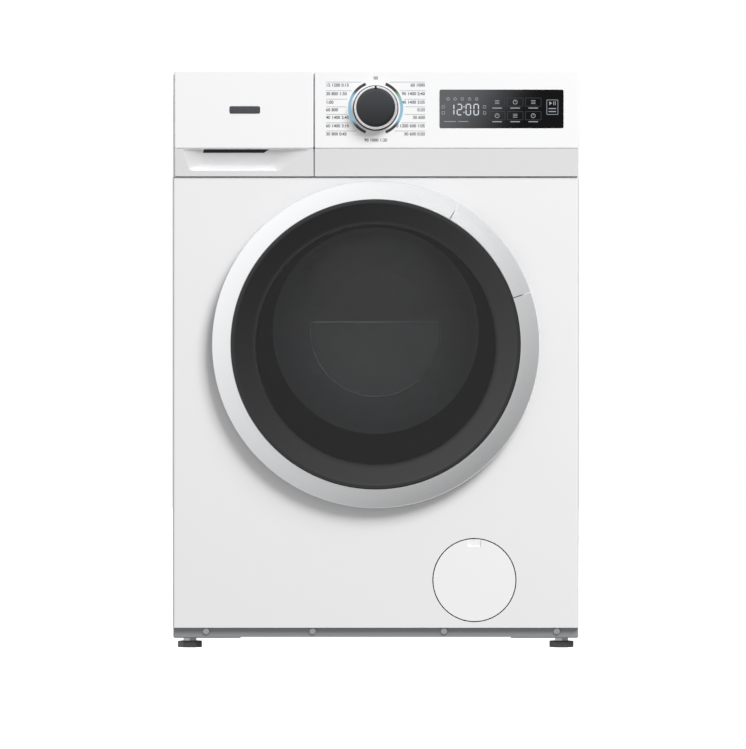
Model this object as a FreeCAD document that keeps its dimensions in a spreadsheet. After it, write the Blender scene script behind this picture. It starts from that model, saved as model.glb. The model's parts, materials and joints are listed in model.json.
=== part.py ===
"""A free-standing front load washing machine, as a parametric document of separate parts.

Millimetres. +Z up, the front faces -Y, and the origin is on the floor, in the middle of the overall box.
"""

import FreeCAD
import Part
import Sketcher
import math
import operator
import os

V = FreeCAD.Vector
doc = FreeCAD.newDocument("washing_machine")


# ---------------------------------------------------------------- driving sizes
SIZES = {
    # overall
    "width": 597, "depth": 565, "height": 847,
    "door_proud": 38,           # front of the door ahead of the front panel
    "rear_proud": 16,           # connections behind the rear wall
    # cabinet sheet metal
    "steel": 1.0, "ground_gap": 16, "rail_height": 14, "rail_setback": 8, "pan_floor": 1.5,
    "panel_return": 14, "panel_round": 4, "side_flange": 18, "case_seam": 0.4,
    "gusset_length": 98, "gusset_depth": 80, "gusset_steel": 1.5,
    "worktop_height": 33, "worktop_inset": 1, "worktop_board": 16, "worktop_wall": 4,
    "cover_width": 420, "cover_low": 150, "cover_high": 690, "cover_bulge": 11, "cover_border": 28,
    "brace_height": 13, "brace_depth": 30,
    # console and drawer front
    "plastic": 2.5, "console_height": 155, "crease_drop": 113.5, "console_proud": 16,
    "console_toe": 3, "console_depth": 30, "seam": 1.5, "drawer_width": 208, "front_thick": 23,
    "display_width": 182, "display_height": 56.7, "display_thick": 3, "display_margin": 23,
    "display_drop": 27.2, "display_gap": 0.2, "corner_round": 2.5,
    "knob_drop": 54.3, "knob_radius": 28.3, "knob_ring_wall": 3.4, "knob_proud": 19,
    "knob_lift": 0.6, "shaft_radius": 3, "running_gap": 0.05,
    # detergent drawer and its housing
    "tray_wall": 2, "tray_low": 742, "tray_high": 795, "tray_length": 233, "slide_gap": 1.5,
    "housing_length": 262, "housing_wall": 3,
    # drum group
    "side_room": 35.5, "under_room": 204, "over_room": 119, "tub_wall": 5, "tub_front_room": 58,
    "tub_rear_room": 70.5, "tub_flange": 10, "flange_thick": 6, "drum_gap": 21, "drum_sheet": 1.2,
    "mouth_gap": 7, "shoulder": 12, "spider_room": 30, "lifter_length": 260, "lifter_height": 46,
    "lifter_base": 56, "hub_radius": 48, "hub_length": 46, "weight_thick": 26, "weight_inner_gap": 12,
    "top_weight_width": 250, "top_weight_depth": 180, "top_weight_rise": 52, "touch_gap": 0.3,
    "shaft_front": 15, "shaft_rear": 12.5, "bearing_front": 31, "bearing_rear": 26,
    "bearing_width": 16, "pulley_radius": 145, "pulley_width": 16, "rotor_pulley": 12.5,
    "belt_thick": 4, "motor_radius": 60, "motor_length": 135, "motor_x": 60, "motor_drop": 64,
    "rotor_shaft": 8, "spring_radius": 13, "spring_wire": 2, "spring_turns": 11, "spring_pull": 20,
    "damper_x": 150, "damper_radius": 15, "damper_bore": 12, "damper_rod": 6, "damper_top": 150,
    # door
    "door_drop": 20, "ring_gap": 6, "ring_width": 28, "ring_slope": 16, "ring_edge": 6,
    "ring_wall": 2.5, "ring_front": 36, "window_wall": 3, "window_rise": 24, "window_depth": 18,
    "window_lip": 5.5, "frame_thick": 6, "frame_back": 6, "frame_inset": 12, "glass_wall": 5,
    "glass_depth": 101, "glass_taper": 50, "glass_flange": 13, "porthole_cover": 68,
    "porthole_lip": 9, "seal_room": 21, "gasket_wall": 3, "gasket_back": 44, "mouth_step": 12,
    "grip_low_angle": 18.7, "grip_high_angle": 59.4,
    "hinge_inset": 12, "hinge_ahead": 16, "knuckle_radius": 4.5, "pin_radius": 2.5,
    "knuckle_half": 30, "lug_thick": 8, "hinge_room": 46, "hinge_plate": 2,
    "hook_inset": 50, "hook_wide": 6, "hook_thick": 10, "hook_pivot": 2,
    # drain pump and its flap
    "pump_x": 145, "pump_z": 100, "flap_radius": 60.2, "flap_gap": 1.6, "flap_thick": 2.5,
    "flap_hinge_rise": 7.2, "ear_radius": 8, "ear_wall": 2, "ear_place": 13.5, "ear_width": 7, "filter_radius": 30, "pump_radius": 36,
    "nozzle_radius": 17, "hose_wall": 3, "drain_radius": 11,
    # feet
    "foot_inset": 24.5, "foot_radius": 18, "foot_height": 9.7, "foot_spindle": 6, "nut_flats": 19,
    "nut_height": 4.6, "spindle_top": 46,
    # rear connections
    "inlet_x": 210, "inlet_drop": 87, "inlet_radius": 13.2, "outlet_x": 262, "outlet_drop": 157,
    "spigot_radius": 10.5, "gland_x": 250, "gland_z": 120, "gland_bore": 4,
    "screw_head": 5, "screw_shank": 2, "screw_length": 8, "plug_radius": 10,
}

sheet = doc.addObject("Spreadsheet::Sheet", "sizes")
for row, (alias, number) in enumerate(SIZES.items(), 1):
    sheet.set(f"A{row}", str(number))
    sheet.setAlias(f"A{row}", alias)
doc.recompute()


class Size:
    """A number together with the spreadsheet expression that gives it."""

    def __init__(self, value, text):
        self.value = float(value)
        self.text = text

    def joined(self, other, sign, work):
        other = as_size(other)
        return Size(work(self.value, other.value), f"({self.text} {sign} {other.text})")

    def __add__(self, other):
        return self.joined(other, "+", operator.add)

    def __sub__(self, other):
        return self.joined(other, "-", operator.sub)

    def __mul__(self, other):
        return self.joined(other, "*", operator.mul)

    def __truediv__(self, other):
        return self.joined(other, "/", operator.truediv)

    def __radd__(self, other):
        return as_size(other) + self

    def __rsub__(self, other):
        return as_size(other) - self

    def __rmul__(self, other):
        return as_size(other) * self

    def __neg__(self):
        return Size(-self.value, f"(-1 * {self.text})")

    def __float__(self):
        return self.value


def as_size(x):
    return x if isinstance(x, Size) else Size(x, f"({float(x):.6f})")


def least(a, b):
    return Size(min(a.value, b.value), f"min({a.text}; {b.text})")


def root(x):
    return Size(math.sqrt(x.value), f"sqrt({x.text})")


class Sheet:
    """Reads a driving size by its alias: s.width."""

    def __getattr__(self, alias):
        return Size(SIZES[alias], f"sizes.{alias}")


s = Sheet()

# ---------------------------------------------------------------- places worked out from the sizes
half = s.width / 2
front = s.door_proud - s.depth / 2            # outer face of the front panel
back = s.depth / 2 - s.rear_proud             # outer face of the rear wall
panel_low = s.ground_gap + s.rail_height
worktop_low = s.height - s.worktop_height
console_low = s.height - s.console_height
crease_z = s.height - s.crease_drop
panel_high = console_low - s.seam / 2
side_front = front + s.panel_return + s.case_seam
face = front - s.console_proud                # flat front of the console
split_x = s.drawer_width - half               # joint between drawer front and console
knob_z = s.height - s.knob_drop

tub_r = least(half - s.steel - s.side_room, (s.height - s.under_room - s.over_room) / 2)
axis_z = s.under_room + tub_r                 # drum axis, along Y
tub_front = front + s.tub_front_room
tub_back = back - s.tub_rear_room
tub_in_r = tub_r - s.tub_wall
tub_in_back = tub_back - s.tub_wall
seam_y = (tub_front + tub_back) / 2
drum_r = tub_in_r - s.drum_gap
drum_front = tub_front + s.tub_wall + s.mouth_gap
drum_back = tub_in_back - s.spider_room

door_z = axis_z - s.door_drop                 # the ring sits a little below the drum axis
ring_r = console_low - s.ring_gap - door_z
ring_in = ring_r - s.ring_width
porthole_r = ring_r - s.porthole_cover
glass_r = porthole_r - s.seal_room
mouth_r = porthole_r - s.mouth_step           # mouths of the tub and drum
window_flat = ring_in - s.window_lip - s.window_rise
frame_r = ring_r - s.frame_inset
frame_y = front - s.frame_back                # back face of the door frame
leaf_y = frame_y - s.frame_thick              # front face of the door frame
hinge_x = s.hinge_inset - ring_r
hinge_y = front - s.hinge_ahead
hook_x = ring_r - s.hook_inset
foot_x = half - s.foot_inset
foot_front_y = front + s.foot_inset + s.rail_setback
foot_rear_y = back - s.foot_inset - s.rail_setback
motor_z = s.under_room - s.motor_drop
pulley_y = back - 2.25 * s.pulley_width
damper_y = seam_y + 38
spring_x = tub_r - 20
spring_y = front + s.housing_length + 26
flap_hinge_z = s.pump_z - s.flap_radius + s.flap_hinge_rise
flap_hinge_y = front + 0.8


# ---------------------------------------------------------------- drawing and feature helpers
PARTS = []
PLANE_OF = {}


def bind(thing, name, amount):
    """Ties a property or a constraint to its expression."""
    thing.setExpression(name, as_size(amount).text)


def keep(label, thing):
    """Names a finished sub-part, so that it is checked and written."""
    thing.Label = label
    PARTS.append(thing)
    return thing


def new_body(label):
    return doc.addObject("PartDesign::Body", label)


def draw(body, plane, loops, at=0, centre=(0, 0)):
    """Draws closed loops parallel to an origin plane of the body, at a distance along the plane's world axis.

    XZ drawings have X across and Z up, YZ drawings have Y across and Z up, XY drawings have X across and Y up.
    centre moves the drawing's own origin.
    """
    sketch = body.newObject("Sketcher::SketchObject", f"{body.Name}_sketch")
    support = next(o for o in body.Origin.OriginFeatures if o.Role == f"{plane}_Plane")
    sketch.AttachmentSupport = (support, [""])
    sketch.MapMode = "FlatFace"
    outward = -as_size(at) if plane == "XZ" else as_size(at)
    for axis, amount in zip("xyz", (*centre, outward)):
        bind(sketch, f"AttachmentOffset.Base.{axis}", amount)
    for loop in loops:
        loop(sketch)
    PLANE_OF[sketch.Name] = plane
    return sketch


def pin(constraints, bound, geometry, point, x, y):
    """Fixes a sketch point by its two distances from the drawing's origin."""
    for kind, axis, amount in (("DistanceX", -2, x), ("DistanceY", -1, y)):
        if abs(float(amount)) < 1e-9:
            constraints.append(Sketcher.Constraint("PointOnObject", geometry, point, axis))
            continue
        if isinstance(amount, Size):
            bound.append((len(constraints), amount))
        constraints.append(Sketcher.Constraint(kind, -1, 1, geometry, point, float(amount)))


def apply(sketch, constraints, bound):
    numbers = sketch.addConstraint(constraints)
    for index, amount in bound:
        bind(sketch, f"Constraints[{numbers[index]}]", amount)


def outline(*points):
    """A closed polygon."""

    def add(sketch):
        first = sketch.GeometryCount
        count = len(points)
        corners = [V(float(x), float(y), 0) for x, y in points]
        sides = [Part.LineSegment(corners[i], corners[(i + 1) % count]) for i in range(count)]
        sketch.addGeometry(sides, False)
        constraints, bound = [], []
        for i, (x, y) in enumerate(points):
            following = first + (i + 1) % count
            constraints.append(Sketcher.Constraint("Coincident", first + i, 2, following, 1))
            pin(constraints, bound, first + i, 1, x, y)
        apply(sketch, constraints, bound)

    return add


def rectangle(x0, y0, x1, y1):
    return outline((x0, y0), (x1, y0), (x1, y1), (x0, y1))


def circle(x, y, radius):
    def add(sketch):
        index = sketch.GeometryCount
        sketch.addGeometry(Part.Circle(V(float(x), float(y), 0), V(0, 0, 1), float(radius)), False)
        constraints, bound = [], []
        pin(constraints, bound, index, 3, x, y)
        if isinstance(radius, Size):
            bound.append((len(constraints), radius))
        constraints.append(Sketcher.Constraint("Radius", index, float(radius)))
        apply(sketch, constraints, bound)

    return add


def pad(body, sketch, length, toward=1):
    """Adds material from the drawing towards + or - of its world axis."""
    feature = body.newObject("PartDesign::Pad", f"{body.Name}_pad")
    feature.Profile = sketch
    bind(feature, "Length", length)
    normal = -1 if PLANE_OF[sketch.Name] == "XZ" else 1
    feature.Reversed = toward != normal
    return feature


def pocket(body, sketch, length, toward=1):
    """Removes material from the drawing towards + or - of its world axis."""
    feature = body.newObject("PartDesign::Pocket", f"{body.Name}_pocket")
    feature.Profile = sketch
    bind(feature, "Length", length)
    normal = -1 if PLANE_OF[sketch.Name] == "XZ" else 1
    feature.Reversed = toward == normal
    return feature


def through(body, sketch):
    """Cuts the drawing right through, both ways."""
    feature = body.newObject("PartDesign::Pocket", f"{body.Name}_through")
    feature.Profile = sketch
    feature.Type = "ThroughAll"
    feature.SideType = "Symmetric"
    return feature


def revolve(body, sketch, axis="H_Axis", remove=False):
    kind = "Groove" if remove else "Revolution"
    feature = body.newObject(f"PartDesign::{kind}", f"{body.Name}_turned")
    feature.Profile = sketch
    feature.ReferenceAxis = (sketch, [axis])
    feature.Angle = 360
    return feature


def loft(body, first, last, remove=False):
    kind = "SubtractiveLoft" if remove else "AdditiveLoft"
    feature = body.newObject(f"PartDesign::{kind}", f"{body.Name}_loft")
    feature.Profile = first
    feature.Sections = [last]
    feature.Ruled = True
    return feature


def mirrored(body, feature):
    """Repeats a feature on the other side of the middle plane x = 0."""
    copy = body.newObject("PartDesign::Mirrored", f"{body.Name}_mirrored")
    copy.Originals = [feature]
    middle = next(o for o in body.Origin.OriginFeatures if o.Role == "YZ_Plane")
    copy.MirrorPlane = (middle, [""])
    body.Tip = copy
    return copy


def mirrored_body(body):
    """Repeats all of a body made so far, a pad and the cuts after it, on the other side of x = 0."""
    copy = body.newObject("PartDesign::Mirrored", f"{body.Name}_mirrored")
    copy.TransformMode = "Whole shape"
    middle = next(o for o in body.Origin.OriginFeatures if o.Role == "YZ_Plane")
    copy.MirrorPlane = (middle, [""])
    body.Tip = copy
    return copy


def round_edges(body, feature, radius, test):
    """Fillets the edges that pass the test."""
    doc.recompute()
    names = [f"Edge{i}" for i, edge in enumerate(feature.Shape.Edges, 1) if test(edge)]
    fillet = body.newObject("PartDesign::Fillet", f"{body.Name}_fillet")
    fillet.Base = (feature, names)
    bind(fillet, "Radius", radius)
    return fillet


def runs_along(edge, axis):
    """True for a straight edge parallel to an axis, given as 0, 1 or 2."""
    if not isinstance(edge.Curve, Part.Line):
        return False
    direction = edge.Curve.Direction
    return abs(abs(direction[axis]) - 1) < 1e-6


def block(name, low, high):
    """A box between two corners."""
    box = doc.addObject("Part::Box", name)
    for side, axis, a, b in zip(("Length", "Width", "Height"), "xyz", low, high):
        bind(box, side, as_size(b) - a)
        bind(box, f"Placement.Base.{axis}", a)
    return box


TURNS = {
    "x": FreeCAD.Rotation(V(0, 1, 0), 90),
    "y": FreeCAD.Rotation(V(1, 0, 0), -90),
    "z": FreeCAD.Rotation(),
}


def rod(name, radius, start, length, axis):
    """A cylinder that runs from a point along +X, +Y or +Z."""
    cylinder = doc.addObject("Part::Cylinder", name)
    bind(cylinder, "Radius", radius)
    bind(cylinder, "Height", length)
    cylinder.Placement = FreeCAD.Placement(V(), TURNS[axis])
    for letter, amount in zip("xyz", start):
        bind(cylinder, f"Placement.Base.{letter}", amount)
    return cylinder


def fuse(name, *shapes):
    joined = doc.addObject("Part::MultiFuse", name)
    joined.Shapes = list(shapes)
    return joined


def cut(name, base, *tools):
    removed = doc.addObject("Part::Cut", name)
    removed.Base = base
    removed.Tool = tools[0] if len(tools) == 1 else fuse(f"{name}_tools", *tools)
    return removed


def group(name, *shapes):
    """Several separate solids that share one node."""
    compound = doc.addObject("Part::Compound", name)
    compound.Links = list(shapes)
    return compound


def turned(name, profile, centre_z, centre_x=0):
    """A body turned about a line along Y. The profile is (y, radius)."""
    body = new_body(name)
    sketch = draw(body, "YZ", [outline(*profile)], at=centre_x, centre=(0, centre_z))
    revolve(body, sketch)
    return body


# ---------------------------------------------------------------- cabinet
def rear_screw_places():
    """Screws round the rear cover, then two that hold the worktop."""
    x = s.cover_width / 2 - 10
    low, high = s.cover_low + 10, s.cover_high - 10
    middle = (s.cover_low + s.cover_high) / 2
    return [(-x, low), (x, low), (-x, high), (x, high), (-x, middle), (x, middle)]


def rail_screw_places():
    """Screws in the front rail."""
    z = s.ground_gap + s.rail_height * 0.6
    return [(49.5 - half, z), (-s.cover_width * 0.22, z), (s.cover_width * 0.24, z), (half - 32, z)]


def plug_places():
    """Transit bolt holes, outside the rear cover."""
    x = half - 56
    return [(-x, axis_z - 150), (x, axis_z - 150), (-x, axis_z + 130), (x, axis_z + 130)]


def make_cabinet_shell():
    """Two side walls with flanges behind the front panel, and the rear wall between them."""
    walls = new_body("side_walls")
    inner, lip = half - s.steel, half - s.side_flange
    fold = side_front + s.steel
    left = outline(
        (-half, side_front), (-lip, side_front), (-lip, fold), (-inner, fold), (-inner, back), (-half, back)
    )
    pad(walls, draw(walls, "XY", [left], at=panel_low), worktop_low - panel_low)
    behind = front + s.console_depth + s.case_seam
    away = rectangle(side_front - 1, console_low, behind, worktop_low + 1)
    through(walls, draw(walls, "YZ", [away]))
    mirrored_body(walls)

    rear = new_body("rear_wall")
    side = inner - 0.2
    low, high = s.cover_low + s.cover_border, s.cover_high - s.cover_border
    opening = s.cover_width / 2 - s.cover_border
    loops = [rectangle(-side, panel_low, side, worktop_low), rectangle(-opening, low, opening, high)]
    loops += [circle(x, z, s.screw_shank + 0.2) for x, z in rear_screw_places()]
    loops += [circle(x, z, s.plug_radius + 0.3) for x, z in plug_places()]
    loops += [circle(-s.inlet_x, s.height - s.inlet_drop, s.inlet_radius + 2)]
    loops += [circle(s.outlet_x, s.height - s.outlet_drop, s.spigot_radius + 2.2)]
    loops += [circle(s.gland_x, s.gland_z, s.gland_bore + 5.2)]
    pad(rear, draw(rear, "XZ", loops, at=back), s.steel, toward=-1)
    return keep("cabinet_shell", group("cabinet_shell", walls, rear))


def make_front_panel():
    """Folded steel tray with the porthole, the flap hole and the lock slot."""
    body = new_body("front_panel")
    sheet_face = draw(body, "XZ", [rectangle(-half, panel_low, half, panel_high)], at=front)
    tray = pad(body, sheet_face, s.panel_return)
    tray = round_edges(
        body, tray, s.panel_round,
        lambda e: runs_along(e, 2) and e.BoundBox.YMax < float(front) + 0.1,
    )
    t = s.steel
    inside = rectangle(t - half, panel_low + t, half - t, panel_high - t)
    pocket(body, draw(body, "XZ", [inside], at=front + s.panel_return), s.panel_return - t, -1)
    lip = [circle(0, axis_z, porthole_r + t), circle(0, axis_z, porthole_r)]
    pad(body, draw(body, "XZ", lip, at=front + t), s.porthole_lip - t)
    loops = [
        circle(0, axis_z, porthole_r),
        circle(s.pump_x, s.pump_z, s.flap_radius + s.flap_gap),
        rectangle(hook_x - 9, door_z - 9, hook_x + 13, door_z + 9),
    ]
    pocket(body, draw(body, "XZ", loops, at=front - 1), t + 2)
    return keep("front_panel", body)


def make_top_panel():
    """Worktop: a laminated board with a skirt."""
    body = new_body("top_panel")
    edge = half - s.worktop_inset
    y0, y1 = front + s.console_depth + s.seam, back
    slab = pad(
        body, draw(body, "XY", [rectangle(-edge, y0, edge, y1)], at=worktop_low), s.worktop_height
    )
    round_edges(
        body, slab, s.corner_round,
        lambda e: e.BoundBox.ZMin > float(s.height) - 0.1 or (runs_along(e, 2) and e.BoundBox.YMin > 0),
    )
    w = s.worktop_wall
    under = rectangle(w - edge, y0 + w, edge - w, y1 - w)
    depth = s.worktop_height - s.worktop_board
    pocket(body, draw(body, "XY", [under], at=worktop_low), depth, toward=1)
    return keep("top_panel", body)


def make_rear_cover():
    """Service cover pressed outwards round the pulley."""
    body = new_body("rear_cover")
    side = s.cover_width / 2
    plate = pad(body, draw(body, "XZ", [rectangle(-side, s.cover_low, side, s.cover_high)], at=back), s.steel)
    t, deep = s.steel, s.cover_bulge

    def border(inset, y):
        x, low, high = side - inset, s.cover_low + inset, s.cover_high - inset
        return draw(body, "XZ", [rectangle(-x, low, x, high)], at=y)

    b = s.cover_border
    loft(body, border(b, back + t), border(b + deep, back + t + deep))
    loft(body, border(b + 0.6 * t, back), border(b + 0.6 * t + deep, back + deep), remove=True)
    holes = [circle(x, z, s.screw_shank + 0.2) for x, z in rear_screw_places()]
    pocket(body, draw(body, "XZ", holes, at=back + s.steel + 1), s.steel + 2, toward=-1)
    return keep("rear_cover", body)


def make_base_frame():
    """Base pan with the rail seen under the front panel, the gussets and the foot bosses."""
    body = new_body("base_frame")
    edge, y0, y1 = half - 0.5, front + s.rail_setback, back - s.rail_setback
    outer = rectangle(-edge, y0, edge, y1)
    tray = pad(body, draw(body, "XY", [outer], at=s.ground_gap), s.rail_height)
    round_edges(body, tray, 3, lambda e: runs_along(e, 2))
    t = s.pan_floor
    inner = rectangle(t - edge, y0 + t, edge - t, y1 - t)
    pocket(body, draw(body, "XY", [inner], at=s.ground_gap + t), s.rail_height, toward=1)
    feet = [(x, y) for x in (-foot_x, foot_x) for y in (foot_front_y, foot_rear_y)]
    bosses = [circle(x, y, s.foot_spindle + 5) for x, y in feet]
    pad(body, draw(body, "XY", bosses, at=s.ground_gap + t), s.rail_height)
    length, depth, inset = s.gusset_length, s.gusset_depth, edge - 1
    gussets = []
    for side in (-1, 1):
        near, far = side * inset, side * (inset - length)
        gussets.append(rectangle(near, y0 + 1, far, y0 + depth))
        gussets.append(rectangle(near, y1 - 1, far, y1 - depth))
    pad(body, draw(body, "XY", gussets, at=s.ground_gap), s.gusset_steel, toward=-1)
    bores = [circle(x, y, s.foot_spindle + s.running_gap) for x, y in feet]
    through(body, draw(body, "XY", bores))
    holes = [circle(x, z, s.screw_shank + 0.2) for x, z in rail_screw_places()]
    pocket(body, draw(body, "XZ", holes, at=y0 - 1), t + 2)
    return keep("base_frame", body)


def make_cross_braces():
    """Two beams across the cabinet; the middle one carries the suspension springs."""
    side = half - s.steel
    top = worktop_low
    beams = []
    for name, y in (("middle", spring_y - s.brace_depth / 2), ("rear", back - s.steel - s.brace_depth)):
        body = new_body(f"{name}_beam")
        low, t = top - s.brace_height, s.steel + 0.5
        far = y + s.brace_depth
        channel = outline(
            (y, top), (y, low), (far, low), (far, top), (far - t, top), (far - t, low + t),
            (y + t, low + t), (y + t, top),
        )
        pad(body, draw(body, "YZ", [channel], at=-side), 2 * side)
        beams.append(body)
    return keep("cross_braces", group("cross_braces", *beams))


def screws(name, places, surface, toward):
    """Pan head screws that enter a surface along Y."""
    body = new_body(name)
    heads = draw(body, "XZ", [circle(x, z, s.screw_head) for x, z in places], at=surface)
    head = pad(body, heads, s.screw_head / 2, toward=-toward)
    head = round_edges(
        body, head, s.screw_head / 4,
        lambda e: abs(e.BoundBox.YMin - float(surface) + toward * float(s.screw_head) / 2) < 0.01
        and e.BoundBox.YLength < 0.01,
    )
    shanks = draw(body, "XZ", [circle(x, z, s.screw_shank) for x, z in places], at=surface)
    pad(body, shanks, s.screw_length, toward=toward)
    return body


def make_case_screws():
    rear = screws("rear_screws", rear_screw_places(), back + s.steel, -1)
    rail = screws("rail_screws", rail_screw_places(), front + s.rail_setback, 1)
    return keep("case_screws", group("case_screws", rear, rail))


def make_transit_plugs():
    body = new_body("transit_plugs")
    discs = draw(body, "XZ", [circle(x, z, s.plug_radius + 4) for x, z in plug_places()], at=back)
    pad(body, discs, 2.5)
    stems = draw(body, "XZ", [circle(x, z, s.plug_radius) for x, z in plug_places()], at=back)
    pad(body, stems, 8, toward=-1)
    return keep("transit_plugs", body)


# ---------------------------------------------------------------- console
def face_profile(rear):
    """Side view of the console and of the drawer front: flat above the crease, sloping back below it."""
    toe = front - s.console_toe
    return outline(
        (face, crease_z), (toe, console_low + s.seam / 2), (rear, console_low + s.seam / 2),
        (rear, s.height), (face, s.height),
    )


def make_console():
    """Control fascia, with the frame that surrounds the drawer on its left."""
    body = new_body("console")
    left, right = split_x + s.seam / 2, half - s.worktop_inset
    rear = front + s.console_depth
    shell = pad(body, draw(body, "YZ", [face_profile(rear)], at=left), right - left)
    round_edges(
        body, shell, s.corner_round,
        lambda e: e.BoundBox.YMax < float(front) and e.BoundBox.ZMin > float(crease_z) - 1
        and e.BoundBox.XMax > float(right) - 0.1,
    )
    t = s.plastic
    toe = front - s.console_toe
    low = console_low + s.seam / 2
    hollow = outline(
        (face + t, crease_z), (toe + t, low + t), (rear + 1, low + t),
        (rear + 1, s.height - t), (face + t, s.height - t),
    )
    pocket(body, draw(body, "YZ", [hollow], at=left + t), right - left - 2 * t, toward=1)
    surround_y = front + s.front_thick - s.console_proud + 1
    x0 = s.worktop_inset - half
    frame = rectangle(x0, low, left + t, s.height)
    pad(body, draw(body, "XZ", [frame], at=surround_y), rear - surround_y)
    gap = s.slide_gap
    tray = rectangle(
        x0 + 12 - gap, s.tray_low - gap, split_x - 12 + gap, s.tray_high + gap
    )
    pocket(body, draw(body, "XZ", [tray], at=surround_y - 1), s.console_depth)
    d_right = half - s.display_margin
    d_high = s.height - s.display_drop
    g = s.display_gap
    window = rectangle(
        d_right - s.display_width - g, d_high - s.display_height - g, d_right + g, d_high + g
    )
    loops = [window, circle(0, knob_z, s.shaft_radius + 1)]
    pocket(body, draw(body, "XZ", loops, at=face - 1), t + 2)
    return keep("console", body)


def make_display_window():
    body = new_body("display_window")
    right, high = half - s.display_margin, s.height - s.display_drop
    pane = rectangle(right - s.display_width, high - s.display_height, right, high)
    plate = pad(body, draw(body, "XZ", [pane], at=face - 0.2), s.display_thick)
    round_edges(body, plate, s.corner_round, lambda e: runs_along(e, 1))
    return keep("display_window", body)


def make_control_board():
    """Circuit board behind the console, with its display module, relays and transformer."""
    y = face + 12
    low, high = knob_z - 30, knob_z + 26
    right = half - s.display_margin + 4
    board = block("board", (-34, y, low), (right, y + 1.6, high))
    first = right - s.display_width
    shapes = [board, block("display_module", (first, face + 5, low + 6), (right - 8, y, high - 6))]
    for i in range(3):
        x = 20 + 26 * i
        shapes.append(block(f"relay_{i + 1}", (x, y + 1.6, low + 8), (x + 19, y + 14, low + 24)))
    shapes.append(block("transformer", (110, y + 1.6, low + 8), (148, y + 16, low + 40)))
    return keep("control_board", fuse("control_board", *shapes))


def make_knob_encoder():
    """Rotary encoder on the board; its shaft goes through the console into the knob."""
    y = face + 12
    case = block("encoder_case", (-8, y - 8, knob_z - 8), (8, y, knob_z + 8))
    shaft = rod("encoder_shaft", s.shaft_radius, (0, face - 14, knob_z), y - 8 - face + 14, "y")
    return keep("knob_encoder", fuse("knob_encoder", case, shaft))


def make_knob():
    """Programme knob: a dark cap inside a bright ring."""
    low, high = face - s.knob_lift, face - s.knob_proud
    bore = s.shaft_radius + s.running_gap
    r = s.knob_radius
    cap = turned(
        "knob",
        [(high, 0), (high, r - 1), (high + 1, r), (low, r), (low, r - 2), (high + 3, r - 2),
         (high + 3, bore + 4), (low, bore + 4), (low, bore), (high + 4, bore), (high + 4, 0)],
        knob_z,
    )
    keep("knob", cap)
    ring = turned(
        "knob_ring",
        [(high + 2, r + 0.01), (high + 1.2, r + 1), (high + 2.5, r + s.knob_ring_wall - 0.5),
         (high + 4, r + s.knob_ring_wall), (low, r + s.knob_ring_wall), (low, r + 0.01)],
        knob_z,
    )
    return keep("knob_ring", ring)


# ---------------------------------------------------------------- detergent drawer
tray_left = s.worktop_inset - half + 12
tray_right = split_x - 12
drawer_back = front + s.front_thick - s.console_proud


def make_drawer_front():
    """Drawer front with a finger scoop under its upper face."""
    body = new_body("drawer_front")
    left, right = s.worktop_inset - half, split_x - s.seam / 2
    shell = pad(body, draw(body, "YZ", [face_profile(drawer_back)], at=left), right - left)
    round_edges(
        body, shell, s.corner_round,
        lambda e: e.BoundBox.YMax < float(front) and e.BoundBox.ZMin > float(crease_z) - 1
        and e.BoundBox.XMax < float(left) + 0.1,
    )
    t = s.plastic
    hollow = rectangle(left + t, crease_z + 12, right - t, s.height - t)
    pocket(body, draw(body, "XZ", [hollow], at=drawer_back), s.front_thick - t, toward=-1)
    deep = drawer_back - 3
    mouth = [
        (left + 10, crease_z - 0.5), (right - 1, crease_z - 0.5),
        (right - 74, crease_z - 62), (left + 22, crease_z - 62),
    ]
    end = [
        (left + 43, crease_z + 9), (right - 62, crease_z + 9),
        (right - 68, crease_z - 6), (left + 48, crease_z - 6),
    ]
    near = draw(body, "XZ", [outline(*mouth)], at=face - 1)
    far = draw(body, "XZ", [outline(*end)], at=deep)
    loft(body, near, far, remove=True)
    return keep("drawer_front", body)


def make_drawer_tray():
    """Open tray with three compartments."""
    y0, y1 = drawer_back, drawer_back + s.tray_length
    t = s.tray_wall
    outer = block("tray_outer", (tray_left, y0, s.tray_low), (tray_right, y1, s.tray_high))
    third = (tray_right - tray_left - 4 * t) / 3
    hollows = []
    for i in range(3):
        x = tray_left + t + i * (third + t)
        end = y1 - t if i != 1 else y1 - 60
        hollows.append(
            block(f"compartment_{i + 1}", (x, y0 + t, s.tray_low + t), (x + third, end, s.tray_high + 1))
        )
    return keep("drawer_tray", cut("drawer_tray", outer, *hollows))


def make_dispenser_housing():
    """Box that the drawer slides into, with its outlet below."""
    gap, w = s.slide_gap, s.housing_wall
    y0 = front + s.console_depth + 0.3
    y1 = y0 + s.housing_length - s.console_depth
    low, high = s.tray_low - gap, s.tray_high + gap
    outer = block("housing_outer", (tray_left - gap - w, y0, low - w), (tray_right + gap + w, y1, high + w))
    hollow = block("housing_hollow", (tray_left - gap, y0 - 1, low), (tray_right + gap, y1 - w, high))
    x = (tray_left + tray_right) / 2
    y = y1 - 60
    spout = rod("spout", s.nozzle_radius - 1, (x, y, low - w - 10), 12, "z")
    bore = rod("spout_bore", s.nozzle_radius - 4, (x, y, low - w - 11), 16, "z")
    return keep("dispenser_housing", cut("dispenser_housing", fuse("housing_body", outer, spout), hollow, bore))


hose_x = (tray_left + tray_right) / 2
hose_y = front + s.housing_length + 0.3 - 60
hose_top = s.tray_low - s.slide_gap - s.housing_wall - 2
hose_near = hose_x + s.nozzle_radius + 6       # the side of the hose where the tub is highest
hose_foot = axis_z + root(tub_r * tub_r - hose_near * hose_near) + 9


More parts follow.
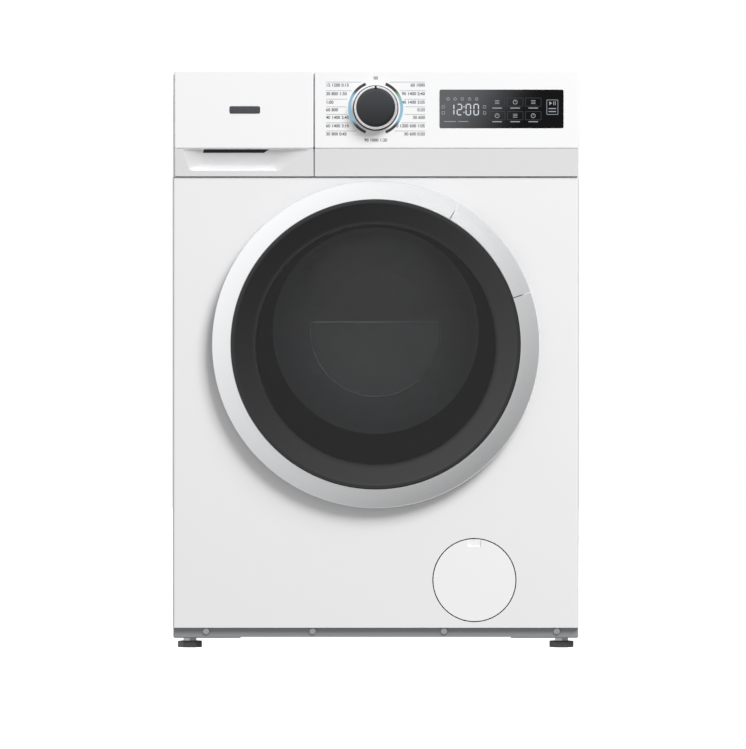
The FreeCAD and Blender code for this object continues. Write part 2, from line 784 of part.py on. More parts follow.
def make_dispenser_hose():
    """Short bellows from the dispenser to the tub."""
    body = new_body("dispenser_hose")
    r0, r1 = s.nozzle_radius - 0.9, s.nozzle_radius + 2
    profile = outline(
        (r0, hose_foot - 8), (r1, hose_foot - 8), (r1, hose_foot), (r1 + 4, hose_foot + 4),
        (r1, hose_foot + 8), (r1, hose_top), (r0, hose_top), (r0, hose_foot + 7),
        (r0 + 3, hose_foot + 4), (r0, hose_foot + 1),
    )
    revolve(body, draw(body, "XZ", [profile], at=hose_y, centre=(hose_x, 0)), "V_Axis")
    return keep("dispenser_hose", body)


# ---------------------------------------------------------------- tub group
def flange_places():
    """Screws round the tub's seam."""
    count = 12
    r = tub_r + s.tub_flange - 5
    places = []
    for i in range(count):
        a = math.radians(15 + 360 / count * i)
        places.append((r * math.cos(a), axis_z + r * math.sin(a)))
    return places


def make_tub_front():
    """Front half of the plastic tub, with its mouth, drain outlet and filling inlet."""
    body = new_body("tub_front")
    w, r = s.tub_wall, tub_r
    profile = outline(
        (tub_front, mouth_r + w), (tub_front, r - 8), (tub_front + 8, r), (seam_y - s.flange_thick, r),
        (seam_y - s.flange_thick, r + s.tub_flange), (seam_y, r + s.tub_flange), (seam_y, r - w),
        (tub_front + 8, r - w), (tub_front + w, r - 10), (tub_front + w, mouth_r + w + 0.2),
        (tub_front + w, mouth_r + 0.2), (tub_front - 3, mouth_r + 0.2), (tub_front - 3, mouth_r + w),
    )
    revolve(body, draw(body, "YZ", [profile], centre=(0, axis_z)))
    sump_y = front + 110
    wall_z = axis_z - root(r * r - s.pump_x * s.pump_x)
    outlet = draw(body, "XY", [circle(s.pump_x, sump_y, s.nozzle_radius)], at=wall_z + 14)
    pad(body, outlet, 46, toward=-1)
    inlet = draw(body, "XY", [circle(hose_x, hose_y, s.nozzle_radius - 1)], at=hose_foot - 80)
    pad(body, inlet, 80)
    cavity = draw(body, "YZ", [rectangle(tub_front + 8, 0, seam_y + 1, r - w)], centre=(0, axis_z))
    revolve(body, cavity, remove=True)
    pocket(body, draw(body, "XY", [circle(s.pump_x, sump_y, s.nozzle_radius - 3)], at=wall_z + 30), 70, -1)
    pocket(body, draw(body, "XY", [circle(hose_x, hose_y, s.nozzle_radius - 4)], at=hose_foot - 100), 110, 1)
    holes = [circle(x, z, s.screw_shank + 0.2) for x, z in flange_places()]
    pocket(body, draw(body, "XZ", holes, at=seam_y + 1), s.flange_thick + 2, toward=-1)
    return keep("tub_front", body)


def make_tub_rear():
    """Rear half of the tub, with the bearing hub, stiffening ribs and the lugs that carry it."""
    body = new_body("tub_rear")
    w, r, t = s.tub_wall, tub_r, s.flange_thick
    y = seam_y + 0.2
    drum = rectangle(y, 0, tub_back, r)
    rim = rectangle(y, r - 1, y + t, r + s.tub_flange)
    revolve(body, draw(body, "YZ", [drum], centre=(0, axis_z)))
    revolve(body, draw(body, "YZ", [rim], centre=(0, axis_z)))
    ribs = []
    for i in range(12):
        a = math.radians(30 * i)
        across = (3 * math.sin(a), 3 * math.cos(a))
        inner, outer = 0.9 * s.hub_radius, r - 6
        corner = [(inner, 1), (outer, 1), (outer, -1), (inner, -1)]
        ribs.append(outline(*[
            (d * math.cos(a) - k * across[0] / 2, axis_z + d * math.sin(a) + k * across[1] / 2)
            for d, k in corner
        ]))
    hub_end = tub_in_back + s.hub_length
    for rib in ribs:
        pad(body, draw(body, "XZ", [rib], at=tub_back), 10)
    pad(body, draw(body, "XZ", [circle(0, axis_z, s.hub_radius)], at=tub_in_back), s.hub_length)
    lug_z = lug_low()
    for side in (-1, 1):
        x = side * s.damper_x
        feet = rectangle(x - 12, damper_y - 10, x + 12, damper_y + 10)
        pad(body, draw(body, "XY", [feet], at=lug_z), axis_z - 0.8 * r - lug_z)
        x = side * spring_x
        ear = rectangle(x - 9, spring_y - 6, x + side * 18, spring_y + 6)
        pad(body, draw(body, "XY", [ear], at=axis_z + 40), spring_low() - axis_z - 40)
    cavity = draw(body, "YZ", [rectangle(y - 1, 0, tub_in_back, r - w)], centre=(0, axis_z))
    revolve(body, cavity, remove=True)
    g = s.running_gap
    step = tub_in_back + s.bearing_width + 0.2
    bores = outline(
        (tub_in_back - 1, 0), (tub_in_back - 1, s.bearing_front + g), (step, s.bearing_front + g),
        (step, s.shaft_front + 3), (hub_end - s.bearing_width, s.shaft_front + 3),
        (hub_end - s.bearing_width, s.bearing_rear + g), (hub_end + 1, s.bearing_rear + g), (hub_end + 1, 0),
    )
    revolve(body, draw(body, "YZ", [bores], centre=(0, axis_z)), remove=True)
    slot_z = heater_z()
    slot = rectangle(-38, slot_z - 9, 38, slot_z + 9)
    pocket(body, draw(body, "XZ", [slot], at=tub_in_back - 1), s.tub_wall + 12)
    holes = [circle(x, z, s.screw_shank + 0.2) for x, z in flange_places()]
    pocket(body, draw(body, "XZ", holes, at=seam_y), s.flange_thick + 1)
    return keep("tub_rear", body)


def lug_low():
    """Underside of the lugs that the damper rods carry."""
    return axis_z - tub_r + 32


def spring_low():
    """Top of the ears that the springs hook on."""
    return axis_z + 0.5 * tub_r + 9


def heater_z():
    """Height of the heater, midway between the drum and the bottom of the tub."""
    return axis_z - (tub_in_r + drum_r) / 2 + 2


def make_tub_screws():
    body = screws("tub_screws", flange_places(), seam_y - s.flange_thick, 1)
    return keep("tub_screws", body)


def make_counterweights():
    """Concrete ring on the tub's front and concrete block on its top."""
    y1 = tub_front
    y0 = y1 - s.weight_thick
    inner = porthole_r + s.weight_inner_gap
    ring = turned(
        "weight_ring",
        [(y0, inner), (y0, tub_r - 10), (y0 + 5, tub_r - 5), (y1, tub_r - 5), (y1, inner)],
        axis_z,
    )
    notch = block(
        "weight_notch", (inner * 0.55, y0 - 1, axis_z - tub_r), (half, y1 + 1, axis_z - tub_r * 0.42)
    )
    keep("counterweight_front", cut("counterweight_front", ring, notch))
    x0 = split_x + 14
    y = seam_y - s.top_weight_depth / 2
    slab = block(
        "weight_slab", (x0, y, axis_z + tub_r * 0.62),
        (x0 + s.top_weight_width, y + s.top_weight_depth, axis_z + tub_r + s.top_weight_rise),
    )
    saddle = rod(
        "weight_saddle", tub_r + s.tub_flange + s.touch_gap, (0, y - 1, axis_z), s.top_weight_depth + 2, "y"
    )
    return keep("counterweight_top", cut("counterweight_top", slab, saddle))


def make_bearings():
    body = new_body("bearings")
    end = tub_in_back + s.hub_length
    w = s.bearing_width
    g = s.running_gap
    front_ring = rectangle(tub_in_back + 0.1, s.shaft_front + g, tub_in_back + w, s.bearing_front)
    rear_ring = rectangle(end - w + 0.1, s.shaft_rear + g, end, s.bearing_rear)
    revolve(body, draw(body, "YZ", [front_ring, rear_ring], centre=(0, axis_z)))
    return keep("bearings", body)


def make_heater():
    """Bent tubular element between drum and tub, on a rubber plug in the rear wall."""
    z = heater_z()
    start = seam_y - 20
    end = tub_in_back - 6
    tubes = [rod(f"heater_leg_{i}", 3.5, (x, start, z), end - start + 8, "y") for i, x in ((1, -26), (2, 26))]
    tubes.append(rod("heater_bend", 3.5, (-26, start, z), 52, "x"))
    plug = block("heater_plug", (-37, end, z - 8), (37, tub_back + 14, z + 8))
    return keep("heater", fuse("heater", *tubes, plug))


def make_motor():
    """Drive motor slung under the tub; its rotor turns in the bore."""
    y0, y1 = pulley_y - s.motor_length - 16, pulley_y - 16
    r, x = s.motor_radius, s.motor_x
    case = rod("motor_case", r, (x, y0, motor_z), s.motor_length, "y")
    nose = rod("motor_nose", r * 0.45, (x, y1, motor_z), 8, "y")
    bore = rod("motor_bore", s.rotor_shaft + s.running_gap, (x, y1 - 30, motor_z), 50, "y")
    near = x - 36
    reach = axis_z - root(tub_r * tub_r - near * near) - 0.2
    arms = [
        block(f"motor_arm_{i}", (near, y, motor_z + r * 0.6), (near + 16, y + 12, reach))
        for i, y in ((1, y0 + 14), (2, tub_back - 14))
    ]
    return keep("motor", cut("motor", fuse("motor_body", case, nose, *arms), bore))


def make_motor_pulley():
    y = pulley_y
    r, rs = s.rotor_pulley, s.rotor_shaft
    profile = [
        (y - 38, 0), (y - 38, rs), (y - 4, rs), (y - 4, r + 3), (y - 2, r + 3), (y - 2, r),
        (y + s.pulley_width, r), (y + s.pulley_width, r + 3), (y + s.pulley_width + 2, r + 3),
        (y + s.pulley_width + 2, 0),
    ]
    body = turned("motor_pulley", profile, motor_z, s.motor_x)
    return keep("motor_pulley", body)


def make_drive_belt():
    """Ribbed belt round both pulleys: two arcs joined by the outer tangents."""
    gap = float(s.touch_gap)
    big, small = float(s.pulley_radius) + gap, float(s.rotor_pulley) + gap
    top, foot = V(0, 0, float(axis_z)), V(float(s.motor_x), 0, float(motor_z))

    def loop(extra):
        a, b = big + extra, small + extra
        along = foot - top
        span = along.Length
        along.normalize()
        side = V(0, 1, 0).cross(along)
        lean = (a - b) / span
        rise = math.sqrt(1 - lean * lean)
        out = [along * lean + side * rise * k for k in (1, -1)]
        p, q = (top + n * a for n in out)
        u, w = (foot + n * b for n in out)
        edges = [
            Part.Arc(p, top - along * a, q).toShape(), Part.makeLine(q, w),
            Part.Arc(w, foot + along * b, u).toShape(), Part.makeLine(u, p),
        ]
        return Part.Face(Part.Wire(edges)).extrude(V(0, float(s.pulley_width) - 2, 0))

    belt = doc.addObject("Part::Feature", "drive_belt")
    belt.Shape = loop(float(s.belt_thick)).cut(loop(0))
    bind(belt, "Placement.Base.y", pulley_y)
    return keep("drive_belt", belt)


# ---------------------------------------------------------------- drum group
def make_drum_shell():
    """Stainless drum with a rolled mouth, and the back plate that the spider carries."""
    t, r = s.drum_sheet, drum_r
    y1 = drum_front + s.shoulder
    profile = [
        (drum_front, mouth_r - 2), (drum_front, mouth_r + 6), (y1, r), (drum_back, r), (drum_back, 0),
        (drum_back - t, 0), (drum_back - t, r - t), (y1 + t, r - t), (drum_front + t, mouth_r + 6),
        (drum_front + t, mouth_r - 2),
    ]
    return keep("drum_shell", turned("drum_shell", profile, axis_z))


def make_lifters():
    """Three hollow-looking paddles on the drum wall, one at the bottom."""
    body = new_body("lifters")
    base = s.lifter_base / 2
    foot = root((drum_r - s.drum_sheet - 0.3) * (drum_r - s.drum_sheet - 0.3) - base * base)
    tip = drum_r - s.lifter_height
    shape = outline((-base, -foot), (base, -foot), (9, -tip), (-9, -tip))
    start = drum_back - s.drum_sheet - 20 - s.lifter_length
    sketch = draw(body, "XZ", [shape], at=start, centre=(0, axis_z))
    paddle = pad(body, sketch, s.lifter_length)
    ring = body.newObject("PartDesign::PolarPattern", "lifters_ring")
    ring.Originals = [paddle]
    ring.Axis = (sketch, ["N_Axis"])
    ring.Angle = 360
    ring.Occurrences = 3
    body.Tip = ring
    return keep("lifters", body)


def make_spider():
    """Three-armed aluminium casting behind the drum."""
    y0, y1 = drum_back + 0.1, tub_in_back - 8
    body = new_body("spider")
    hub = draw(body, "XZ", [circle(0, axis_z, s.hub_radius * 0.8)], at=y0)
    pad(body, hub, y1 - y0)
    arms = []
    for i in range(3):
        a = math.radians(90 + 120 * i)
        reach = drum_r - 6
        corner = [(0, 14), (reach, 8), (reach, -8), (0, -14)]
        arms.append(outline(*[
            (d * math.cos(a) - k * math.sin(a), axis_z + d * math.sin(a) + k * math.cos(a))
            for d, k in corner
        ]))
    for arm in arms:
        pad(body, draw(body, "XZ", [arm], at=y0), (y1 - y0) * 0.7)
    through(body, draw(body, "XZ", [circle(0, axis_z, s.shaft_front + s.running_gap)]))
    return keep("spider", body)


def make_drum_shaft():
    end = tub_in_back + s.hub_length
    step = tub_in_back + s.hub_length / 2
    profile = [
        (drum_back + 0.3, 0), (drum_back + 0.3, s.shaft_front), (step, s.shaft_front),
        (step, s.shaft_rear), (end + 14, s.shaft_rear), (end + 14, 0),
    ]
    return keep("drum_shaft", turned("drum_shaft", profile, axis_z))


def make_drum_pulley():
    """Dished pulley: its rim surrounds the bearing hub."""
    y, r, w = pulley_y, s.pulley_radius, s.pulley_width
    end = tub_in_back + s.hub_length
    bore = s.shaft_rear + s.running_gap
    profile = [
        (end + 0.6, bore), (end + 0.6, 22), (y + w - 3, r - 4), (y - 1, r - 4), (y - 1, r), (y + w, r),
        (y + w + 1, r - 6), (end + 4, 24), (end + 12, 20), (end + 12, bore),
    ]
    return keep("drum_pulley", turned("drum_pulley", profile, axis_z))


# ---------------------------------------------------------------- gasket, suspension and water path
def make_gasket():
    """Rubber bellows between the front panel and the tub's mouth."""
    f, r, w = front, porthole_r, s.gasket_wall
    back_y = f + s.gasket_back
    lip = glass_r - 0.4
    inner = mouth_r - w
    profile = [
        (f - 2, r - 6), (f - 2, r + 4), (f - 0.1, r + 4), (f - 0.1, r - 0.2), (back_y, r - 0.2),
        (back_y, mouth_r), (tub_front + 5, mouth_r), (tub_front + 5, inner), (back_y - w, inner),
        (back_y - w, r - w - 0.2), (f + 5, r - w - 0.2), (f + 5, lip), (f + 2, lip), (f + 2, r - 6),
    ]
    return keep("door_gasket", turned("door_gasket", profile, axis_z))


def make_dampers():
    """Friction dampers: bored cylinders on the base pan, rods that hang from the tub."""
    body = new_body("damper_cylinders")
    z0, top = s.ground_gap + s.pan_floor, s.damper_top
    r, bore, rod_r = s.damper_radius, s.damper_bore, s.damper_rod
    profile = outline(
        (0, z0), (r + 6, z0), (r + 6, z0 + 10), (r, z0 + 10), (r, top), (rod_r + s.running_gap, top),
        (rod_r + s.running_gap, top - 6), (bore, top - 6), (bore, z0 + 14), (0, z0 + 14),
    )
    cylinder = revolve(body, draw(body, "XZ", [profile], at=damper_y, centre=(s.damper_x, 0)), "V_Axis")
    mirrored(body, cylinder)
    keep("damper_cylinders", body)
    rods = new_body("damper_rods")
    lug = lug_low()
    profile = outline(
        (0, top - 52), (bore - 0.1, top - 52), (bore - 0.1, top - 40), (rod_r, top - 40),
        (rod_r, lug - 12), (rod_r + 5, lug - 12), (rod_r + 5, lug), (0, lug),
    )
    rod_shape = revolve(rods, draw(rods, "XZ", [profile], at=damper_y, centre=(s.damper_x, 0)), "V_Axis")
    mirrored(rods, rod_shape)
    return keep("damper_rods", rods)


def make_suspension_springs():
    """Two extension springs from the middle beam to the tub's ears."""
    springs = []
    wire, coil = float(s.spring_wire), float(s.spring_radius)
    low, high = float(spring_low()), float(worktop_low - s.brace_height)
    turns, hook = float(s.spring_turns), float(s.spring_pull)
    height = high - low - 2 * hook
    for side in (-1, 1):
        helix = Part.makeHelix(height / turns, height, coil)
        ring = Part.Wire(Part.makeCircle(wire, V(coil, 0, 0), V(0, 1, 0)))
        body = Part.Wire(helix).makePipeShell([ring], True, True)
        ends = [Part.makeCylinder(wire, hook + wire, V(coil, 0, z)) for z in (-hook, height - wire)]
        spring = body.fuse(ends)
        spring.translate(V(side * float(spring_x), float(spring_y), low + hook))
        springs.append(spring)
    feature = doc.addObject("Part::Feature", "suspension_springs")
    feature.Shape = Part.makeCompound(springs)
    return keep("suspension_springs", feature)


def make_pump_body():
    """Drain pump with its filter housing, and the surround that closes the flap hole and carries the flap."""
    x, z, g = s.pump_x, s.pump_z, s.running_gap
    r, w = s.pump_radius, s.ear_width
    surround = s.flap_radius + s.flap_gap + 1.2
    y0, y1 = front + s.steel + 0.1, front + 24
    ring = rod("surround_outer", surround + 3, (x, y0, z), y1 - y0, "y")
    recess = rod("surround_recess", surround, (x, y0 - 1, z), y1 - y0 - 2, "y")
    walls = [cut("surround_wall", ring, recess)]
    for side in (-1, 1):
        x0 = x + side * s.ear_place - w / 2
        low = z - surround - 1
        walls.append(block("ear_saddle", (x0, flap_hinge_y + 2.6, low), (x0 + w, y1 - 1, flap_hinge_z - 1)))
    seat = rod("ear_seat", s.ear_radius + g, (x - 20, flap_hinge_y, flap_hinge_z), 40, "x")
    hole = rod("filter_hole", r + 0.2, (x, y1 - 3, z), 6, "y")
    surround_solid = cut("flap_surround", fuse("surround_solid", *walls), seat, hole)
    chamber = rod("filter_chamber", r, (x, y1 - 3, z), 90, "y")
    motor = rod("pump_motor", r * 0.8, (x, y1 + 87, z), 62, "y")
    inlet_z = z + r + 28
    inlet = rod("pump_inlet", s.nozzle_radius, (x, front + 110, z + r - 6), inlet_z - z - r + 6, "z")
    outlet = rod("pump_outlet", s.drain_radius - s.hose_wall - 0.1, (x + r - 4, front + 90, z), 34, "x")
    foot = block("pump_foot", (x - 24, y1 + 40, s.ground_gap + s.pan_floor), (x + 24, y1 + 90, z - r * 0.7))
    solid = fuse("pump_solid", chamber, motor, inlet, outlet, foot)
    bore = rod("filter_bore", s.filter_radius + 0.5, (x, y0, z), 80, "y")
    throat = rod("inlet_bore", s.nozzle_radius - 3, (x, front + 110, z), inlet_z - z + 1, "z")
    duct = rod("outlet_bore", s.drain_radius - s.hose_wall - 3, (x, front + 90, z), r + 40, "x")
    pump = cut("pump_housing", solid, bore, throat, duct)
    return keep("pump_body", group("pump_body", surround_solid, pump))


def make_pump_filter():
    """Screw-out lint filter with a grip bar."""
    x, z = s.pump_x, s.pump_z
    y = front + 12
    cap = rod("filter_cap", s.filter_radius, (x, y, z), 14, "y")
    bar = block("filter_grip", (x - 24, y - 7, z - 4), (x + 24, y, z + 4))
    cage = rod("filter_cage", s.filter_radius - 6, (x, y + 14, z), 48, "y")
    hollow = rod("filter_hollow", s.filter_radius - 9, (x, y + 18, z), 60, "y")
    return keep("pump_filter", cut("pump_filter", fuse("filter_solid", cap, bar, cage), hollow))


def make_filter_flap():
    """Round flap over the filter. Its curved ears turn in saddles about an axis inside its own thickness."""
    x, z, r, w = s.pump_x, s.pump_z, s.flap_radius, s.ear_width
    y0 = front - 0.5
    disc = rod("flap_disc", r, (x, y0, z), s.flap_thick, "y")
    slot = block("flap_slot", (x - 9.7, y0 - 1, z + r - 11), (x + 9.7, y0 + 1.6, z + r + 2))
    pieces = [cut("flap_plate", disc, slot)]
    y, axis, reach = flap_hinge_y, flap_hinge_z, s.ear_radius + 1
    for side in (-1, 1):
        x0 = x + side * s.ear_place - w / 2
        outer = rod("ear_outer", s.ear_radius, (x0, y, axis), w, "x")
        inner = rod("ear_inner", s.ear_radius - s.ear_wall, (x0 - 1, y, axis), w + 2, "x")
        ahead = block("ear_ahead", (x0 - 1, y - reach, axis - reach), (x0 + w + 1, y0 + s.flap_thick - 0.2, axis + reach))
        below = block("ear_below", (x0 - 1, y, axis - reach), (x0 + w + 1, y + reach, axis - s.ear_radius / 2))
        pieces.append(cut("flap_ear", outer, inner, ahead, below))
    return keep("filter_flap", fuse("filter_flap", *pieces))


def bellows(name, x, y, z0, z1, bore, folds):
    """A corrugated rubber hose along Z."""
    body = new_body(name)
    w = s.hose_wall
    pitch = (z1 - z0) / (2 * folds)
    steps = range(2 * folds + 1)
    outer = [(bore + w + (4 if i % 2 else 0), z0 + pitch * i) for i in steps]
    inner = [(bore + (4 if i % 2 else 0), z0 + pitch * i) for i in reversed(steps)]
    revolve(body, draw(body, "XZ", [outline(*outer, *inner)], at=y, centre=(x, 0)), "V_Axis")
    return body


def make_sump_hose():
    z0 = s.pump_z + s.pump_radius + 12
    wall_z = axis_z - root(tub_r * tub_r - s.pump_x * s.pump_x)
    hose = bellows("sump_hose", s.pump_x, front + 110, z0, wall_z - 16, s.nozzle_radius + 0.2, 4)
    return keep("sump_hose", hose)


def tube(points, radius, bends):
    """A round tube along straight runs joined by tangent arcs."""
    edges, start = [], points[0]
    for corner, after, bend in zip(points[1:-1], points[2:], bends):
        before = (start - corner).normalize()
        onward = (after - corner).normalize()
        half_turn = before.getAngle(onward) / 2
        reach = bend / math.tan(half_turn)
        a, b = corner + before * reach, corner + onward * reach
        centre = corner + (before + onward).normalize() * (bend / math.sin(half_turn))
        middle = centre + (corner - centre).normalize() * bend
        edges += [Part.makeLine(start, a), Part.Arc(a, middle, b).toShape()]
        start = b
    edges.append(Part.makeLine(start, points[-1]))
    path = Part.Wire(edges)
    ring = Part.Wire(Part.makeCircle(radius, points[0], points[1] - points[0]))
    return path.makePipeShell([ring], True, True), path.Length


def make_drain_hose():
    """Drain hose clipped along the right wall, from the pump up to the rear outlet."""
    y0, y1 = front + 90, back - 40
    x, z = half - s.steel - s.drain_radius - 21, s.outlet_drop
    points = [
        V(float(s.pump_x + s.pump_radius + 6), float(y0), float(s.pump_z)),
        V(float(x), float(y0), float(s.pump_z)),
        V(float(x), float(y1), float(s.pump_z)),
        V(float(s.outlet_x), float(y1), float(s.height - z)),
        V(float(s.outlet_x), float(back) - 9, float(s.height - z)),
    ]
    bends = (34, 60, 18)
    outer, length = tube(points, float(s.drain_radius), bends)
    inner, _ = tube(points, float(s.drain_radius - s.hose_wall), bends)
    area = math.pi * float(s.drain_radius) ** 2
    if abs(outer.Volume / (area * length) - 1) > 0.01:
        raise ValueError("the drain hose does not have its section all the way")
    hose = doc.addObject("Part::Feature", "drain_hose")
    hose.Shape = outer.cut(inner)
    return keep("drain_hose", hose)


def make_rear_connections():
    """Inlet valve, drain outlet and the grommet for the mains lead."""
    x, z, r = -s.inlet_x, s.height - s.inlet_drop, s.inlet_radius
    case = block("valve_case", (x - 20, back - 52, z - 22), (x + 20, back - 6, z + 22))
    coil = block("valve_coil", (x - 15, back - 46, z - 44), (x + 15, back - 16, z - 22))
    neck = rod("valve_neck", r + 1.5, (x, back - 6, z), 6, "y")
    spigot = rod("valve_spigot", r, (x, back, z), 14, "y")
    bore = rod("valve_bore", r - 6, (x, back - 20, z), 36, "y")
    keep("inlet_valve", cut("inlet_valve", fuse("valve_solid", case, coil, neck, spigot), bore))

    x, z, r = s.outlet_x, s.height - s.outlet_drop, s.spigot_radius
    stem = rod("outlet_stem", r + 2, (x, back - 8.9, z), 8.9, "y")
    collar = rod("outlet_collar", r + 5, (x, back, z), 2, "y")
    spigot = rod("outlet_spigot", r, (x, back, z), s.rear_proud, "y")
    bore = rod("outlet_bore", r - 3, (x, back - 10, z), 40, "y")
    keep("drain_outlet", cut("drain_outlet", fuse("outlet_solid", stem, collar, spigot), bore))

    x, z, r = s.gland_x, s.gland_z, s.gland_bore + 5
    stem = rod("gland_stem", r, (x, back - 8, z), 12, "y")
    collar = rod("gland_collar", r + 3, (x, back, z), 3, "y")
    inside = rod("gland_inside", r + 3, (x, back - s.steel - 3.1, z), 3, "y")
    bore = rod("gland_opening", s.gland_bore, (x, back - 10, z), 20, "y")
    return keep("cord_gland", cut("cord_gland", fuse("gland_solid", stem, collar, inside), bore))


# ---------------------------------------------------------------- door
def sector(first, last, steps):
    """A wedge from the door's centre between two angles, in degrees, reaching past the ring."""
    reach = ring_r * 1.5
    points = [(0, door_z)]
    for i in range(steps + 1):
        a = math.radians(first + (last - first) * i / steps)
        points.append((reach * math.cos(a), door_z + reach * math.sin(a)))
    return outline(*points)


def ring_profile():
    f, w = front - s.ring_front, s.ring_wall
    edge = f + s.ring_slope
    rear = edge + s.ring_edge
    return [
        (f, ring_in), (edge, ring_r), (rear, ring_r), (rear, ring_r - w), (edge + w * 0.6, ring_r - w),
        (f + w * 1.15, ring_in),
    ]


def make_door_ring():
    """Bright outer ring of the door, less the grip; its rim is relieved over the hinge."""
    body = turned("door_ring", ring_profile(), door_z)
    low, high = SIZES["grip_low_angle"], SIZES["grip_high_angle"]
    through(body, draw(body, "XZ", [sector(low - 0.15, high + 0.15, 3)]))
    edge = front - s.ring_front + s.ring_slope
    relief = rectangle(-ring_r - 1, door_z - s.hinge_room, hinge_x, door_z + s.hinge_room)
    pocket(body, draw(body, "XZ", [relief], at=edge), s.ring_edge + 2)
    return keep("door_ring", body)


def make_door_grip():
    """Pull grip: the stretch of the ring that the fingers hook behind."""
    body = turned("door_grip", ring_profile(), door_z)
    low, high = SIZES["grip_low_angle"], SIZES["grip_high_angle"]
    through(body, draw(body, "XZ", [sector(high, low + 360, 12)]))
    return keep("door_grip", body)


def make_door_window():
    """Smoked outer window: a dish with a raised lip."""
    rim_y = front - s.ring_front - 2
    flat_y = rim_y + s.window_depth
    w = s.window_wall
    lip = ring_in - s.window_lip
    profile = [
        (flat_y, 0), (flat_y, window_flat - 6), (flat_y - 1.5, window_flat), (rim_y + 3, lip - 3),
        (rim_y, lip), (rim_y, ring_in - 0.5), (rim_y + 4, ring_in - 0.5), (rim_y + 4, lip + 1.5),
        (flat_y + w - 1.5, window_flat + 2.5), (flat_y + w, window_flat - 4), (flat_y + w, 0),
    ]
    return keep("door_window", turned("door_window", profile, door_z))


def make_door_frame():
    """Inner frame of the door: carries the ring, the glass, the hinge leaf and the hook."""
    body = new_body("door_frame")
    plate = [circle(0, door_z, frame_r), circle(0, axis_z, glass_r + 2)]
    pad(body, draw(body, "XZ", plate, at=leaf_y), s.frame_thick)
    wall = [circle(0, door_z, frame_r), circle(0, door_z, frame_r - s.plastic)]
    pad(body, draw(body, "XZ", wall, at=leaf_y), 10.5, toward=-1)
    reach = s.hinge_room
    away = rectangle(-ring_r, door_z - reach, hinge_x + 32, door_z + reach)
    through(body, draw(body, "XZ", [away]))
    finger = sector(SIZES["grip_low_angle"] + 4, SIZES["grip_high_angle"] - 4, 3)
    dip = draw(body, "XZ", [finger], at=leaf_y)
    pocket(body, dip, 12, toward=-1)
    slot = rectangle(hook_x - 9, door_z - s.hook_thick / 2 - 1, hook_x + 11, door_z + s.hook_thick / 2 + 1)
    through(body, draw(body, "XZ", [slot]))
    pivot_y = frame_y - s.frame_thick / 2
    pivot = draw(body, "XY", [circle(hook_x, pivot_y, s.hook_pivot + s.running_gap)], at=door_z - 10)
    pocket(body, pivot, 20, toward=1)
    return keep("door_frame", body)


def glass_solid(name, wall):
    """The bowl as a full solid, smaller all round by the wall."""
    body = new_body(name)
    y0 = leaf_y - 0.2
    y1 = y0 + s.glass_depth - wall
    far = glass_r - s.glass_taper - wall
    profile = outline((y0 - (2 if float(wall) else 0), 0), (y0 - (2 if float(wall) else 0), glass_r - wall),
                      (y0 + 8, glass_r - wall), (y1 - 8, far), (y1, far - 8), (y1, 0))
    revolve(body, draw(body, "YZ", [profile], centre=(0, axis_z)))
    step = y0 + 24 - wall
    high, low = axis_z + glass_r * 0.78 - wall * 0.6, axis_z + 14 - wall * 0.8
    facet = outline(
        (step, axis_z + glass_r + 20), (step, high), (y1 + 1, low), (y1 + 30, low),
        (y1 + 30, axis_z + glass_r + 20),
    )
    through(body, draw(body, "YZ", [facet]))
    return body


def make_door_glass():
    """Glass bowl with a sloping upper facet and a flat flange."""
    y0 = leaf_y - 0.2
    flange = rod("glass_flange_disc", glass_r + s.glass_flange, (0, y0 - 4.3, axis_z), 4.3, "y")
    bowl = fuse("glass_outer", glass_solid("glass_bowl", as_size(0)), flange)
    mouth = rod("glass_mouth", glass_r - s.glass_wall, (0, y0 - 6, axis_z), 7, "y")
    return keep("door_glass", cut("door_glass", bowl, glass_solid("glass_hollow", s.glass_wall), mouth))


def make_hinge():
    """Door hinge: a leaf on the door frame, a bracket with two lugs on the cabinet, and the pin."""
    x, y, r, h = hinge_x, hinge_y, s.knuckle_radius, s.knuckle_half
    g = s.running_gap
    leaf = block("leaf_plate", (x, leaf_y - 4, door_z - h), (x + 58, leaf_y, door_z + h))
    knuckle = rod("leaf_knuckle", r, (x, y, door_z - h), 2 * h, "z")
    bore = rod("leaf_bore", s.pin_radius + g, (x, y, door_z - h - 1), 2 * h + 2, "z")
    keep("hinge_leaf", cut("hinge_leaf", fuse("leaf_solid", leaf, knuckle), bore))

    plate_front = front - s.hinge_plate
    plate = block("bracket_plate", (x + 11, plate_front, door_z - h - 14), (x + 36, front, door_z + h + 14))
    pieces = [plate]
    for name, z in (("upper", door_z + h + 0.5), ("lower", door_z - h - 0.5 - s.lug_thick)):
        body = new_body(f"{name}_lug")
        arm = outline(
            (x, y - r), (x + 4, y - r), (x + 30, plate_front - 5), (x + 30, front - 1),
            (x + 17, front - 1), (x + 1.5, y + 4.2),
        )
        pad(body, draw(body, "XY", [arm], at=z), s.lug_thick)
        pieces += [body, rod(f"{name}_eye", r, (x, y, z), s.lug_thick, "z")]
    length = 2 * (h + s.lug_thick + 2)
    hole = rod("bracket_bore", s.pin_radius + 0.01, (x, y, door_z - length / 2), length, "z")
    keep("hinge_bracket", cut("hinge_bracket", fuse("bracket_solid", *pieces), hole))
    return keep("hinge_pin", rod("hinge_pin", s.pin_radius, (x, y, door_z - length / 2), length, "z"))


